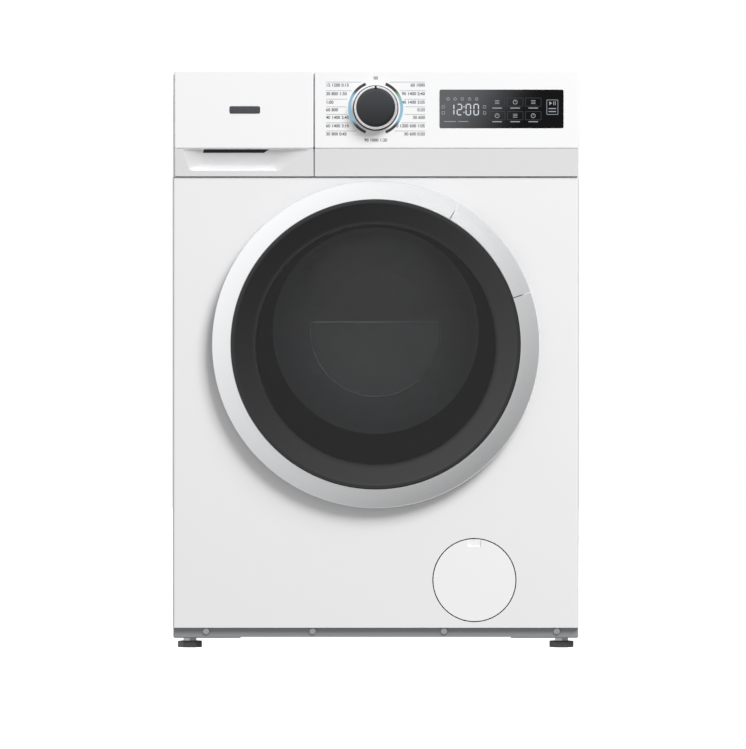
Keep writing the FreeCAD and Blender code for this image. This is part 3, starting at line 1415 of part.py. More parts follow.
def make_latch():
    """Sprung hook on the door, and the lock behind the front panel that it enters."""
    x, y = hook_x, frame_y - s.frame_thick / 2
    w, t = s.hook_wide, s.hook_thick
    tip = front + 16
    shank = block("hook_shank", (x - w / 2, y, door_z - t / 2), (x + w / 2, tip, door_z + t / 2))
    barb = block("hook_barb", (x, tip - 6, door_z - t / 2), (x + 8, tip, door_z + t / 2))
    eye = rod("hook_eye", w / 2, (x, y, door_z - t / 2), t, "z")
    pivot = rod("hook_pivot_pin", s.hook_pivot, (x, y, door_z - 9.5), 19, "z")
    keep("latch_hook", fuse("latch_hook", shank, barb, eye, pivot))
    case = block("lock_case", (x - 14, front + s.steel + 0.1, door_z - 34), (x + 24, front + 28, door_z + 34))
    inside = block("lock_slot", (x - 9, front, door_z - 9), (x + 14, front + 24, door_z + 9))
    return keep("door_lock", cut("door_lock", case, inside))


# ---------------------------------------------------------------- feet
def make_foot(label, x, y):
    """Levelling foot: a six-sided pad on a threaded spindle."""
    body = new_body(label)
    r = s.foot_radius
    corners = [(x + r * math.cos(math.radians(60 * i)), y + r * math.sin(math.radians(60 * i))) for i in range(6)]
    base = pad(body, draw(body, "XY", [outline(*corners)]), s.foot_height)
    round_edges(body, base, 1.2, lambda e: True)
    spindle = draw(body, "XY", [circle(x, y, s.foot_spindle)], at=s.foot_height)
    pad(body, spindle, s.spindle_top - s.foot_height)
    return keep(label, body)


def make_lock_nuts():
    """Hexagon nuts that lock the feet against the gussets."""
    nuts = []
    high = s.ground_gap - s.gusset_steel
    for i, (x, y) in enumerate([(-foot_x, foot_front_y), (foot_x, foot_front_y), (-foot_x, foot_rear_y), (foot_x, foot_rear_y)]):
        body = new_body(f"lock_nut_{i + 1}")
        r = s.nut_flats / math.sqrt(3)
        corners = [
            (x + r * math.cos(math.radians(60 * k + 30)), y + r * math.sin(math.radians(60 * k + 30)))
            for k in range(6)
        ]
        loops = [outline(*corners), circle(x, y, s.foot_spindle + s.running_gap)]
        pad(body, draw(body, "XY", loops, at=high), s.nut_height, toward=-1)
        nuts.append(body)
    return keep("lock_nuts", group("lock_nuts", *nuts))


# ---------------------------------------------------------------- build, check and write
def build():
    make_cabinet_shell()
    make_front_panel()
    make_top_panel()
    make_rear_cover()
    make_base_frame()
    make_cross_braces()
    make_case_screws()
    make_transit_plugs()
    make_console()
    make_display_window()
    make_control_board()
    make_knob_encoder()
    make_knob()
    make_drawer_front()
    make_drawer_tray()
    make_dispenser_housing()
    make_dispenser_hose()
    make_tub_front()
    make_tub_rear()
    make_tub_screws()
    make_counterweights()
    make_bearings()
    make_heater()
    make_motor()
    make_motor_pulley()
    make_drive_belt()
    make_drum_shell()
    make_lifters()
    make_spider()
    make_drum_shaft()
    make_drum_pulley()
    make_gasket()
    make_dampers()
    make_suspension_springs()
    make_pump_body()
    make_pump_filter()
    make_filter_flap()
    make_sump_hose()
    make_drain_hose()
    make_rear_connections()
    make_door_ring()
    make_door_grip()
    make_door_window()
    make_door_frame()
    make_door_glass()
    make_hinge()
    make_latch()
    make_foot("foot_front_left", -foot_x, foot_front_y)
    make_foot("foot_front_right", foot_x, foot_front_y)
    make_foot("foot_rear_left", -foot_x, foot_rear_y)
    make_foot("foot_rear_right", foot_x, foot_rear_y)
    make_lock_nuts()


def check():
    """Stops if any object failed, or a sub-part is empty or not valid."""
    doc.recompute()
    failed = [o.Label for o in doc.Objects if {"Invalid", "Error"} & set(o.State)]
    for thing in PARTS:
        if thing.Shape.isNull() or not thing.Shape.isValid() or not thing.Shape.Solids:
            failed.append(thing.Label)
    if failed:
        raise ValueError(f"these failed: {failed}")


def write():
    os.makedirs("parts", exist_ok=True)
    for thing in PARTS:
        thing.Shape.exportStep(f"parts/{thing.Label}.step")
        box = thing.Shape.BoundBox
        print(f"{thing.Label:22} solids {len(thing.Shape.Solids):3} volume {thing.Shape.Volume:12.0f}",
              [round(v, 1) for v in (box.XMin, box.XMax, box.YMin, box.YMax, box.ZMin, box.ZMax)])
    print(len(PARTS), "sub-parts")


build()
check()
write()
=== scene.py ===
# %% [markdown]
# # A front loading washing machine
# The frame is the machine as it was designed: sixty parts in their places, in metres, with their
# joints. This lesson dresses it. Parts whose shape is right keep it and get a finish; the others
# are made again here.

# %% Load the frame
import json
import math

import bpy
import numpy as np
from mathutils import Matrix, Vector


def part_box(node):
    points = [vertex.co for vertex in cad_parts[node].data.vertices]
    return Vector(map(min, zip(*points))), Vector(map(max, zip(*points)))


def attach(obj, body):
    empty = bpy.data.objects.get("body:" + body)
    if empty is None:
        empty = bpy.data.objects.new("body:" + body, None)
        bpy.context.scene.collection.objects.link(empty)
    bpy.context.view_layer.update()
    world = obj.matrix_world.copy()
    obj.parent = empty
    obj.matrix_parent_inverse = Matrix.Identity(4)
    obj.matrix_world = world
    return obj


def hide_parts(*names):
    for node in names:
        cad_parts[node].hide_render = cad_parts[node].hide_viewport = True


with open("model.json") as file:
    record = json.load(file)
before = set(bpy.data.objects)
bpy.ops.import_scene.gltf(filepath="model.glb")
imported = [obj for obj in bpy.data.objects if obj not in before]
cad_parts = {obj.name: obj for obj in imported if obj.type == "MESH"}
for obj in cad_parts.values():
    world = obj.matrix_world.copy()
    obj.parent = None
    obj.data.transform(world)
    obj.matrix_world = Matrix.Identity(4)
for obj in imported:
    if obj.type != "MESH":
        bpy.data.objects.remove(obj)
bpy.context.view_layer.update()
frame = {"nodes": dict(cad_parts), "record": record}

# %% [markdown]
# ## Places and tones
# Lengths are easier to read in millimetres, so a part's box is turned into them once. Colour
# sockets take linear numbers. A level from 0 to 255 is what the eye judges, so a helper turns one
# into the other.

# %% Millimetres and tones
MM = 0.001


def span(node):
    """Lowest and highest corner of a part, in millimetres."""
    low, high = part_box(node)
    return np.array(low) / MM, np.array(high) / MM


def tone(*levels):
    """Linear colour of screen levels, by the power curve of screens. One level makes a grey."""
    linear = [((level / 255 + 0.055) / 1.055) ** 2.4 for level in levels]
    return tuple(linear * 3) if len(linear) == 1 else tuple(linear)


ring_low, ring_high = span("door_ring")
door_z = (ring_low[2] + ring_high[2]) / 2
ring_radius = (ring_high[0] - ring_low[0]) / 2
drum_low, drum_high = span("drum_shell")
axis_z = (drum_low[2] + drum_high[2]) / 2
console_low, console_high = span("console")
face_y = console_low[1]
knob_low, knob_high = span("knob")
knob_z = (knob_low[2] + knob_high[2]) / 2
FLAT_FACE = 113.5  # height of the console's flat face, from its top down to the crease
crease_z = console_high[2] - FLAT_FACE
print(f"door centre z {door_z:.1f}, drum axis z {axis_z:.1f}")
print(f"knob z {knob_z:.1f}, console face y {face_y:.1f}")

# %% [markdown]
# ## Shapes from numbers
# Almost every moulded or turned piece is a row of closed rings joined by quads: a ring may be a
# circle, a rounded rectangle or the section of a moulding. The helpers below work on whole
# arrays, so one line makes thousands of points. The signed volume of the result tells which way
# its faces look, and they are turned outwards when it is negative.

# %% Rings joined into closed shapes


def skin(rings, closed=False):
    """Closed shape through rings of points, an array (rings, points, 3).

    Point (i, j) joins its neighbours (i + 1, j) and (i, j + 1), and each ring closes on itself.
    The last ring joins the first if closed, and otherwise one flat face fills each end ring.
    """
    rings = np.asarray(rings, float)
    count, around = rings.shape[:2]
    rows = count if closed else count - 1
    i, j = np.meshgrid(np.arange(rows), np.arange(around), indexing="ij")
    here, up = i * around, (i + 1) % count * around
    across = (j + 1) % around
    quads = np.stack([here + j, here + across, up + across, up + j], -1).reshape(-1, 4)
    points = rings.reshape(-1, 3)
    faces = quads.tolist()
    triangles = np.concatenate([quads[:, [0, 1, 2]], quads[:, [0, 2, 3]]])
    if not closed:
        first = np.arange(around)[::-1]
        last = (count - 1) * around + np.arange(around)
        for cap in (first, last):
            faces.append(cap.tolist())
            fan = np.stack([np.full(around - 2, cap[0]), cap[1:-1], cap[2:]], -1)
            triangles = np.concatenate([triangles, fan])
    a, b, c = (points[triangles[:, k]] - points.mean(0) for k in range(3))
    if np.einsum("ij,ij->", a, np.cross(b, c)) < 0:
        faces = [face[::-1] for face in faces]
    return points, faces


def gather(shapes):
    """Several shapes as one: the points in a row, and each face counted on from the points before it."""
    points, faces, start = [], [], 0
    for some_points, some_faces in shapes:
        points.append(some_points)
        faces += [[index + start for index in face] for face in some_faces]
        start += len(some_points)
    return np.concatenate(points), faces


def rounded(corners, radii, steps=5):
    """Closed outline with an arc at each corner.

    Each arc is the rational quadratic curve through its two tangent points. Its middle point is
    the corner, weighted by the sine of half the corner's angle, which is exactly a circle.
    """
    corner = np.array(corners, float)
    before, after = np.roll(corner, 1, 0) - corner, np.roll(corner, -1, 0) - corner
    before /= np.linalg.norm(before, axis=1, keepdims=True)
    after /= np.linalg.norm(after, axis=1, keepdims=True)
    half = np.arccos(np.clip((before * after).sum(1), -1, 1)) / 2
    reach = (np.broadcast_to(radii, len(corner)) / np.tan(half))[:, None]
    start, end = (corner + before * reach)[:, None], (corner + after * reach)[:, None]
    t = np.linspace(0, 1, steps)[None, :, None]
    weights = (1 - t) ** 2, 2 * t * (1 - t) * np.sin(half)[:, None, None], t**2
    arcs = (weights[0] * start + weights[1] * corner[:, None] + weights[2] * end) / sum(weights)
    line = arcs.reshape(-1, 2)
    return line[np.linalg.norm(line - np.roll(line, 1, 0), axis=1) > 1e-6]


def rectangle(x0, z0, x1, z1, radius=0.0, steps=5):
    """Closed outline of a rectangle with round corners."""
    corners = [(x0, z0), (x1, z0), (x1, z1), (x0, z1)]
    return rounded(corners, radius, steps) if radius else np.array(corners, float)


def disc(x, z, radius, sides=48):
    """Closed outline of a circle."""
    a = np.linspace(0, 2 * np.pi, sides, endpoint=False)
    return np.stack([x + radius * np.cos(a), z + radius * np.sin(a)], -1)


def inset(outline, amount):
    """Outline moved inwards along the mitre of each corner.

    A mitre is the sum of the two side normals over one plus their dot product.
    """
    ahead = np.roll(outline, -1, 0) - outline
    ahead /= np.linalg.norm(ahead, axis=1, keepdims=True)
    normal = np.stack([ahead[:, 1], -ahead[:, 0]], -1)
    x, z = outline.T
    if (x * np.roll(z, -1) - z * np.roll(x, -1)).sum() < 0:
        normal = -normal
    back = np.roll(normal, 1, 0)
    mitre = (normal + back) / (1 + (normal * back).sum(1, keepdims=True))
    return outline - mitre * amount


def ring_at(outline, depth):
    """Outline of points (x, z) set at a depth, which is a number or a function of z."""
    y = depth(outline[:, 1]) if callable(depth) else np.full(len(outline), depth)
    return np.stack([outline[:, 0], y, outline[:, 1]], -1)


def plate(outline, front, thick, edge=0.0):
    """Flat plate facing -Y: its front edge is a quarter circle, and its side is straight.

    A wide edge gets one more ring inside it, which keeps its shading off the flat face.
    """
    turn = np.linspace(0, np.pi / 2, 4) if edge else np.array([0.0])
    insets = [*(edge * (1 - np.sin(turn))), 0.0]
    depths = [*(front + edge * (1 - np.cos(turn))), front + thick]
    if edge > 1:
        insets.insert(0, edge + 0.5)
        depths.insert(0, front)
    return skin([ring_at(inset(outline, amount) if amount else outline, y)
                 for amount, y in zip(insets, depths)])


def swept(section, x, z, first=0.0, last=360.0, steps=192):
    """Section (y, radius) carried round a line along Y through (x, z), from first to last degree."""
    section = np.array(section, float)
    full = abs(last - first) > 359.9
    a = np.radians(np.linspace(first, last, steps, endpoint=not full))[:, None]
    y, r = section[None, :, 0] + 0 * a, section[None, :, 1]
    return skin(np.stack([x + r * np.cos(a), y, z + r * np.sin(a)], -1), closed=full)


def turned(profile, x, z, sides=192):
    """Solid turned about a line along Y from a profile (y, radius), with a flat face at each end."""
    profile = np.array(profile, float)
    a = np.linspace(0, 2 * np.pi, sides, endpoint=False)[None, :]
    y, r = profile[:, :1], profile[:, 1:]
    return skin(np.stack([x + r * np.cos(a), y + 0 * a, z + r * np.sin(a)], -1))


# %% [markdown]
# ## Pieces and slots
# A piece becomes an object at the origin with its place in its mesh, rides on a body, stands for
# the parts that it replaces, and takes the finish of a slot. Edges sharper than the given angle
# stay crisp, the others shade smoothly.

# %% Piece maker
made = {}


def piece(name, body, slot, shape, replaces=(), sharp=32, finish=None):
    """Object from a shape in millimetres. Its finish is the slot's, unless it has its own."""
    points, faces = shape
    mesh = bpy.data.meshes.new(name)
    mesh.from_pydata((points * MM).tolist(), [], faces)
    mesh.shade_smooth()
    mesh.set_sharp_from_angle(angle=math.radians(sharp))
    thing = bpy.data.objects.new(name, mesh)
    bpy.context.scene.collection.objects.link(thing)
    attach(thing, body)
    if replaces:
        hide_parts(*replaces)
    made[name] = finish or slot
    size = np.ptp(points, axis=0)
    print(f"{name}: {len(faces)} faces, {size[0]:.1f} x {size[1]:.1f} x {size[2]:.1f} mm")
    return thing


# %% [markdown]
# ## Shader maths
# A finish is a small graph of nodes. Writing 1 - mask in Python is easier to follow than wiring
# boxes, so a socket is wrapped in a class whose operators add Math nodes. Any other node comes
# from one method, settings first.

# %% Wires and finishes


def operation(kind, swapped=False):
    """A Python operator that adds one Math node."""

    def run(self, other=0.0):
        pair = (other, self) if swapped else (self, other)
        return self.graph.node("ShaderNodeMath", {"operation": kind}, dict(enumerate(pair)))

    return run


class Wire:
    """One output socket of a graph."""

    def __init__(self, graph, socket):
        self.graph = graph
        self.socket = socket

    def __getitem__(self, name):
        return Wire(self.graph, self.socket.node.outputs[name])

    __add__ = __radd__ = operation("ADD")
    __mul__ = __rmul__ = operation("MULTIPLY")
    __sub__ = operation("SUBTRACT")
    __rsub__ = operation("SUBTRACT", swapped=True)
    __truediv__ = operation("DIVIDE")
    __lt__ = operation("LESS_THAN")
    __gt__ = operation("GREATER_THAN")
    __abs__ = operation("ABSOLUTE")
    fraction = operation("FRACT")
    root = operation("SQRT")
    angle = operation("ARCTAN2")
    most = operation("MAXIMUM")

    def step(self, low, high):
        """Smooth step: 0 below low, 1 above high, and 3 t squared less 2 t cubed between them."""
        settings = {"interpolation_type": "SMOOTHSTEP"}
        values = {"Value": self, "From Min": low, "From Max": high}
        return self.graph.node("ShaderNodeMapRange", settings, values)


class Graph:
    """A node tree that is filled by calls."""

    def __init__(self, tree):
        self.tree = tree

    def node(self, kind, settings=None, values=None, output=0):
        """Adds one node, settings first, then values or links, and returns the named output."""
        new = self.tree.nodes.new(kind)
        for name, value in (settings or {}).items():
            setattr(new, name, value)
        for name, value in (values or {}).items():
            if isinstance(value, Wire):
                self.tree.links.new(value.socket, new.inputs[name])
            else:
                new.inputs[name].default_value = value
        return Wire(self, new.outputs[output])


class Finish(Graph):
    """A material on the Principled shader. Patterns read Object coordinates, in metres."""

    def __init__(self, name, **sockets):
        self.material = bpy.data.materials.new(name)
        self.material.use_nodes = True
        super().__init__(self.material.node_tree)
        self.shader = self.tree.nodes["Principled BSDF"]
        self.place = self.node("ShaderNodeTexCoord", output="Object")
        parts = self.node("ShaderNodeSeparateXYZ", {}, {0: self.place})
        self.x, self.y, self.z = parts["X"], parts["Y"], parts["Z"]
        self.set(**sockets)

    def set(self, **sockets):
        """Sets or links the shader's sockets: Base_Color stands for the socket Base Color."""
        for name, value in sockets.items():
            socket = self.shader.inputs[name.replace("_", " ")]
            if isinstance(value, Wire):
                self.tree.links.new(value.socket, socket)
            elif isinstance(value, tuple):
                socket.default_value = (*value, 1.0)
            else:
                socket.default_value = value

    def noise(self, scale, detail=2.0, stretch=(1, 1, 1)):
        """Cloudy noise from 0 to 1, with scale features a metre, stretched along the axes."""
        settings = {"operation": "MULTIPLY"}
        where = self.node("ShaderNodeVectorMath", settings, {0: self.place, 1: stretch})
        return self.node("ShaderNodeTexNoise", {}, {"Vector": where, "Scale": scale, "Detail": detail})

    def cells(self, scale, output="Color"):
        """Random cells: a colour for each, or the distance to its middle."""
        return self.node("ShaderNodeTexVoronoi", {}, {"Vector": self.place, "Scale": scale}, output)

    def mix(self, factor, a, b):
        """Colour a where the factor is 0, colour b where it is 1."""
        a, b = ((*c, 1.0) if isinstance(c, tuple) else c for c in (a, b))
        return self.node("ShaderNodeMix", {"data_type": "RGBA"}, {0: factor, 6: a, 7: b}, 2)

    def bump(self, height, distance, under=None):
        """Surface relief: the height, 0 to 1, stands for the distance in metres."""
        values = {"Height": height, "Distance": distance}
        if under is not None:
            values["Normal"] = under
        return self.node("ShaderNodeBump", {}, values)


finishes = {}


def moulded(slot, colour, roughness, grain=1500, depth=0.00002, drift=0.03, scuff=0.08, **sockets):
    """Painted or moulded surface: pigment that drifts slowly, scuffed gloss, and a fine grain."""
    finish = Finish(slot, **sockets)
    cloud = finish.noise(9, 3)
    pale = tuple(min(1.0, c * (1 + drift)) for c in colour)
    deep = tuple(c * (1 - drift) for c in colour)
    finish.set(
        Base_Color=finish.mix(cloud, deep, pale),
        Roughness=roughness + (finish.noise(35, 4) - 0.5) * (2 * scuff),
        Normal=finish.bump(finish.noise(grain, 2), depth),
    )
    finishes[slot] = finish
    return finish


# %% [markdown]
# ## Enamel, plastic and laminate
# The steel front and sides are powder coated: glossy white with the faint ripple called orange
# peel. The console and the drawer front are moulded plastic in the same white with a spark-eroded
# grain. The worktop is laminated board. The side walls get their stiffening beads from a bump of
# two nested rounded rectangles, as a press would leave them.

# %% White finishes
BEADS = ((0.175, 0.31), (0.115, 0.235))  # half width and half height of each bead, in metres
enamel = moulded("white_enamel", tone(240, 240, 241), 0.32, drift=0.003, scuff=0.015, Coat_Weight=0.2)
case_low, case_high = span("cabinet_shell")
on_side = abs(enamel.x) > (case_high[0] - 1.5) * MM
across = abs(enamel.y - (case_low[1] + case_high[1]) / 2 * MM)
along = abs(enamel.z - (case_low[2] + case_high[2]) / 2 * MM)
beads = 0.0
for half_width, half_height in BEADS:
    edge = (across - half_width).most(along - half_height)
    beads = beads + (1 - abs(edge).step(0.004, 0.012))
enamel_ripple = enamel.bump(enamel.noise(420, 2), 0.000006)
enamel.set(Normal=enamel.bump(beads * on_side, 0.004, under=enamel_ripple))

moulded("white_plastic", tone(246, 246, 247), 0.38, grain=2400, depth=0.000006, drift=0.003, scuff=0.02)
moulded("white_board", tone(240), 0.42, grain=900, depth=0.00001, drift=0.008, scuff=0.03)
moulded("grey_plastic", tone(196, 199, 203), 0.4, grain=1800, depth=0.00002)
moulded("dark_plastic", tone(48, 49, 52), 0.45, grain=1600, depth=0.00003, drift=0.06)
moulded("foot_plastic", tone(70, 72, 75), 0.42, grain=1200, depth=0.00006, drift=0.1)
moulded("tub_plastic", tone(178, 180, 184), 0.5, grain=500, depth=0.00006, drift=0.06)
print(len(finishes), "moulded and painted finishes")

# %% [markdown]
# ## Rubber, concrete and cast metal
# Rubber is dull and slightly dusty. The counterweights are cast concrete with grains and pores:
# random cells give the grains their own greys, and noise gives the pores. Cast aluminium is a
# coarse, matt metal.

# %% Dull finishes
moulded("grey_rubber", tone(132, 134, 137), 0.62, grain=700, depth=0.00005, drift=0.08)
moulded("black_rubber", tone(34, 34, 36), 0.6, grain=900, depth=0.00005, drift=0.1)
moulded("grey_paint", tone(150, 152, 155), 0.42, grain=420, depth=0.00004, drift=0.03)
concrete = moulded("concrete", tone(150, 147, 141), 0.88, drift=0.1)
pores = concrete.noise(420, 4).step(0.56, 0.7)
grain = concrete.mix(concrete.cells(260, "Distance").step(0.1, 0.6), tone(132), tone(160))
grains = concrete.mix(pores * 0.6, grain, tone(96))
concrete.set(Base_Color=grains, Normal=concrete.bump(1 - pores, 0.0006))
moulded("cast_metal", tone(150, 152, 155), 0.5, grain=800, depth=0.0001, drift=0.06, Metallic=0.9)
moulded("board_green", tone(30, 92, 52), 0.35, grain=1500, drift=0.05)
print("dull finishes:", sorted(finishes))

# %% [markdown]
# ## Metals
# Zinc-coated sheet crystallises into spangles: random cells, each with its own grey and gloss.
# Stainless steel in the drum is brushed round its axis, so its noise is read in polar places:
# radius, angle times a number, and depth. The drum wall is punched with small drain holes, drawn
# as dark dots on a staggered grid of angle and depth.

# %% Metal finishes


def polar(finish, z):
    """Radius and angle about the line along Y at height z, in millimetres and radians."""
    dz = finish.z - z * MM
    radius = (finish.x * finish.x + dz * dz).root()
    return radius, dz.angle(finish.x)


def brushed(slot, colour, roughness, centre=None, streak=0.14, **sockets):
    """Metal with fine lines, round a centre or along X, whose gloss varies by streak."""
    finish = Finish(slot, Metallic=1.0, **sockets)
    if centre is None:
        lines = finish.noise(900, 2, (0.04, 1, 1))
    else:
        radius, angle = polar(finish, centre)
        values = {0: radius * 1400, 1: angle * 3, 2: finish.y * 1400}
        where = finish.node("ShaderNodeCombineXYZ", {}, values)
        lines = finish.node("ShaderNodeTexNoise", {}, {"Vector": where, "Scale": 1.0, "Detail": 2.0})
    cloud = finish.noise(12, 3)
    finish.set(
        Base_Color=finish.mix(cloud, tuple(c * 0.94 for c in colour), colour),
        Roughness=roughness + (lines - 0.5) * streak,
        Normal=finish.bump(lines, 0.000008),
    )
    finishes[slot] = finish
    return finish


brushed("screw_steel", tone(190, 191, 193), 0.3)
brushed("bearing_steel", tone(190, 192, 195), 0.2)
brushed("spring_steel", tone(150, 152, 155), 0.35)
brushed("heater_steel", tone(150, 146, 140), 0.32)
zinc = brushed("galvanised", tone(196, 200, 204), 0.38)
spangle = zinc.node("ShaderNodeSeparateXYZ", {}, {0: zinc.cells(95)})
zinc.set(
    Base_Color=zinc.mix(spangle["X"], tone(198, 201, 204), tone(218, 221, 224)), Metallic=0.55,
    Roughness=0.28 + spangle["Y"] * 0.22,
    Normal=zinc.bump(spangle["Z"], 0.00004),
)

WALL_PITCH, WALL_HOLES, WALL_RADIUS = 0.016, 48, 0.236  # between rows, holes in a row, drum
BACK_PITCH, BACK_HOLES = 0.022, 36
BACK_INNER, BACK_OUTER = 0.085, 0.21


def staggered(row, turn, width, pitch, radius):
    """Dots in rows, each second row half a step along. A dot fades out over 0.6 mm."""
    shifted = turn + ((row - row.fraction()) * 0.5).fraction()
    x, y = (shifted.fraction() - 0.5) * width, (row.fraction() - 0.5) * pitch
    return 1 - (x * x + y * y).root().step(radius, radius + 0.0006)


steel = brushed("stainless", tone(206, 207, 209), 0.24, axis_z)
radius, angle = polar(steel, axis_z)
turns = angle / (2 * math.pi)
wall_step = 2 * math.pi / WALL_HOLES * WALL_RADIUS
wall = staggered(steel.y / WALL_PITCH, turns * WALL_HOLES, wall_step, WALL_PITCH, 0.0016)
back_step = radius * (2 * math.pi / BACK_HOLES)
back = staggered(radius / BACK_PITCH, turns * BACK_HOLES, back_step, BACK_PITCH, 0.0018)
on_back = (radius < BACK_OUTER) * (radius > BACK_INNER) * (steel.y > (drum_high[1] - 4) * MM)
hole = (wall * (radius > 0.225)).most(back * on_back)
steel.set(
    Base_Color=steel.mix(hole, tone(206, 207, 209), tone(22)),
    Metallic=1 - hole * 0.9,
    Normal=steel.bump(1 - hole, 0.001),
)
print("metal finishes ready, drum holes every", WALL_PITCH / MM, "mm")

# %% [markdown]
# ## Bright trim
# The door's ring is plastic under satin metallic lacquer: flakes too small to see, gloss that
# stretches round the ring. It is mostly metal with a little body colour, which softens the change
# from bright to grey round it. The knob's ring is the same lacquer, glossier, and the knob's face
# is dark grey with painted light: it is painted paler towards its top, as if lit from above.

# %% Trim finishes
for slot, colour, shine, centre in (("ring_silver", tone(250, 251, 252), 0.28, door_z),
                                    ("knob_silver", tone(246, 246, 247), 0.25, knob_z)):
    lacquer = brushed(slot, colour, shine, centre, streak=0.03)
    cloud = lacquer.noise(14, 2)
    lacquer.set(
        Metallic=0.85,
        Base_Color=lacquer.mix(cloud, tuple(c * 0.985 for c in colour), colour),
        Normal=lacquer.bump(lacquer.noise(2600, 1), 0.000003),
    )
knob_grey = moulded("knob_grey", tone(40, 41, 44), 0.34, grain=1500, depth=0.00001, drift=0.04)
# Painted light: the knob's face is painted paler towards its top, as if lit from above.
height = (knob_grey.z - knob_z * MM) / 0.028
painted_top_light = (height * 0.5 + 0.5).step(0, 1)
knob_grey.set(Base_Color=knob_grey.mix(painted_top_light, tone(26, 27, 29), tone(58, 60, 64)))
print("trim finishes ready")

# %% [markdown]
# ## Window, glass and display
# The outer window is smoked plastic: dark, glossy, and see-through inside a solid border. The
# bowl behind it is tinted glass, cheap to show as a mostly transparent, shiny surface. Painted
# highlights make its end edge and its crease pale and less clear. The display is black gloss with a
# painted reflection: grey that fades out from its left end.

# %% Clear and black finishes
FACET_START, FACET_END = 118, 14  # height of the bowl's facet above the axis: at its start, at its end
END_EDGE = 0.0965  # radius of the bowl's end edge, in metres
BORDER = (0.174, 0.178)  # radii, in metres, between which the window turns solid
window = moulded("smoked_window", tone(32, 32, 33), 0.06, grain=60, depth=0.000004, scuff=0.02, IOR=1.55)
glass = moulded("clear_glass", tone(58, 64, 66), 0.05, grain=40, depth=0.00001, scuff=0.01, IOR=2)
glass_y = span("door_glass")[1][1]
radius, angle = polar(glass, axis_z)
# Painted highlights: the bowl's end edge and its crease are painted pale and made less transparent.
painted_end_highlight = 1 - abs(radius - END_EDGE).step(0.0006, 0.0022)
crease_height = (axis_z + FACET_END) * MM
crease = (1 - abs(glass.z - crease_height).step(0.0004, 0.0016)) * (radius < END_EDGE + 0.0005)
painted_glass_highlight = (painted_end_highlight * (glass.z < crease_height)).most(crease) * (glass.y > (glass_y - 9) * MM)
glass_with_painted_highlights = glass.mix(painted_glass_highlight, tone(58, 64, 66), tone(170, 174, 178))
glass.set(Base_Color=glass_with_painted_highlights, Alpha=0.24 + painted_glass_highlight * 0.4)
radius, angle = polar(window, door_z)
window.set(Alpha=0.32 + radius.step(*BORDER) * 0.68)
gloss = moulded("black_gloss", tone(10), 0.1, scuff=0.02, grain=60, depth=0.000003, IOR=1.25)
display_low, display_high = span("display_window")
across = (gloss.x - display_low[0] * MM) / ((display_high[0] - display_low[0]) * MM)
up = (gloss.z - display_low[2] * MM) / ((display_high[2] - display_low[2]) * MM)
# Painted reflection: the black pane is painted grey at its left end, fading out to the right.
painted_reflection = 1 - (across * 1.3 - up * 0.25).step(-0.15, 0.85)
gloss.set(Base_Color=gloss.mix(painted_reflection, tone(2), tone(96, 97, 99)))


def lit(slot, colour, strength, body=10):
    """Printed or lit film: its own light over a dark body."""
    finish = moulded(slot, tone(body), 0.3, grain=1500, depth=0.000004, Emission_Strength=strength)
    finish.set(Emission_Color=finish.mix(finish.noise(90, 2), tuple(c * 0.92 for c in colour), colour))
    return finish


lit("lit_white", tone(226, 234, 240), 0.9)
lit("dim_white", tone(190, 198, 206), 0.7)
lit("key_outline", tone(70, 80, 92), 0.5)
moulded("print_grey", tone(74, 76, 80), 0.5, drift=0.04)
moulded("line_grey", tone(140, 142, 146), 0.5, drift=0.03)
moulded("nameplate_grey", tone(84, 86, 90), 0.34, grain=1500, drift=0.03, Metallic=0.5)
moulded("deep_black", tone(6), 0.5)
glow = lit("dial_glow", tone(150, 205, 232), 1.0, body=60)
reach = abs(glow.z - knob_z * MM)
middle = 1 - reach.step(0.016, 0.027)
right = glow.x > 0.0
green = (glow.z - knob_z * MM).step(0.0, 0.03) * right
hue = glow.mix(green, tone(150, 205, 232), tone(150, 208, 150))
glow.set(
    Base_Color=tone(120, 124, 128),
    Emission_Color=glow.mix(middle, tone(0), hue),
    Emission_Strength=0.75,
)
print(len(finishes), "finishes in all")

# %% [markdown]
# ## Door: ring, grip, window and glass
# One section, a slope with a thin rim, is carried round the door's centre. A gap in the turn
# leaves room for the grip, which is the same section over the missing angle, so both stay on one
# circle. The window is a dish with a raised lip.

# %% Ring and grip
GRIP_LOW, GRIP_HIGH, HALF_GAP = 18.7, 59.4, 0.15  # in degrees
RING_INNER, RIM_WALL = 212, 2.5
front_y = ring_low[1]
ring_section = rounded(
    [(front_y, RING_INNER), (front_y + 16, ring_radius), (front_y + 22, ring_radius),
     (front_y + 22, ring_radius - RIM_WALL), (front_y + 17.5, ring_radius - RIM_WALL),
     (front_y + 2.9, RING_INNER)],
    [0.8, 3, 0.8, 0.8, 1.5, 0.6],
)
ring_turn = swept(ring_section, 0, door_z, GRIP_HIGH + HALF_GAP, 360 + GRIP_LOW - HALF_GAP, 288)
piece("door_band", "door", "ring_silver", ring_turn, ["door_ring"])
grip_turn = swept(ring_section, 0, door_z, GRIP_LOW + HALF_GAP, GRIP_HIGH - HALF_GAP, 40)
piece("door_pull", "door", "ring_silver", grip_turn, ["door_grip"])

# %% Smoked window
window_low = span("door_window")[0]
rim, flat = window_low[1], window_low[1] + 18
dish = np.concatenate([
    [(flat, 0.6)],
    rounded(
        [(flat, 40), (flat, 180), (rim + 2, 204.5), (rim, 206.5), (rim, 211.5), (rim + 4, 211.5),
         (rim + 4, 208), (flat + 1.6, 184), (flat + 3, 180), (flat + 3, 40)],
        [0, 9, 1.5, 1.2, 1, 0.8, 1, 3, 3, 0],
    ),
    [(flat + 3, 0.6)],
])
piece("window_dish", "door", "smoked_window", turned(dish, 0, door_z), ["door_window"])

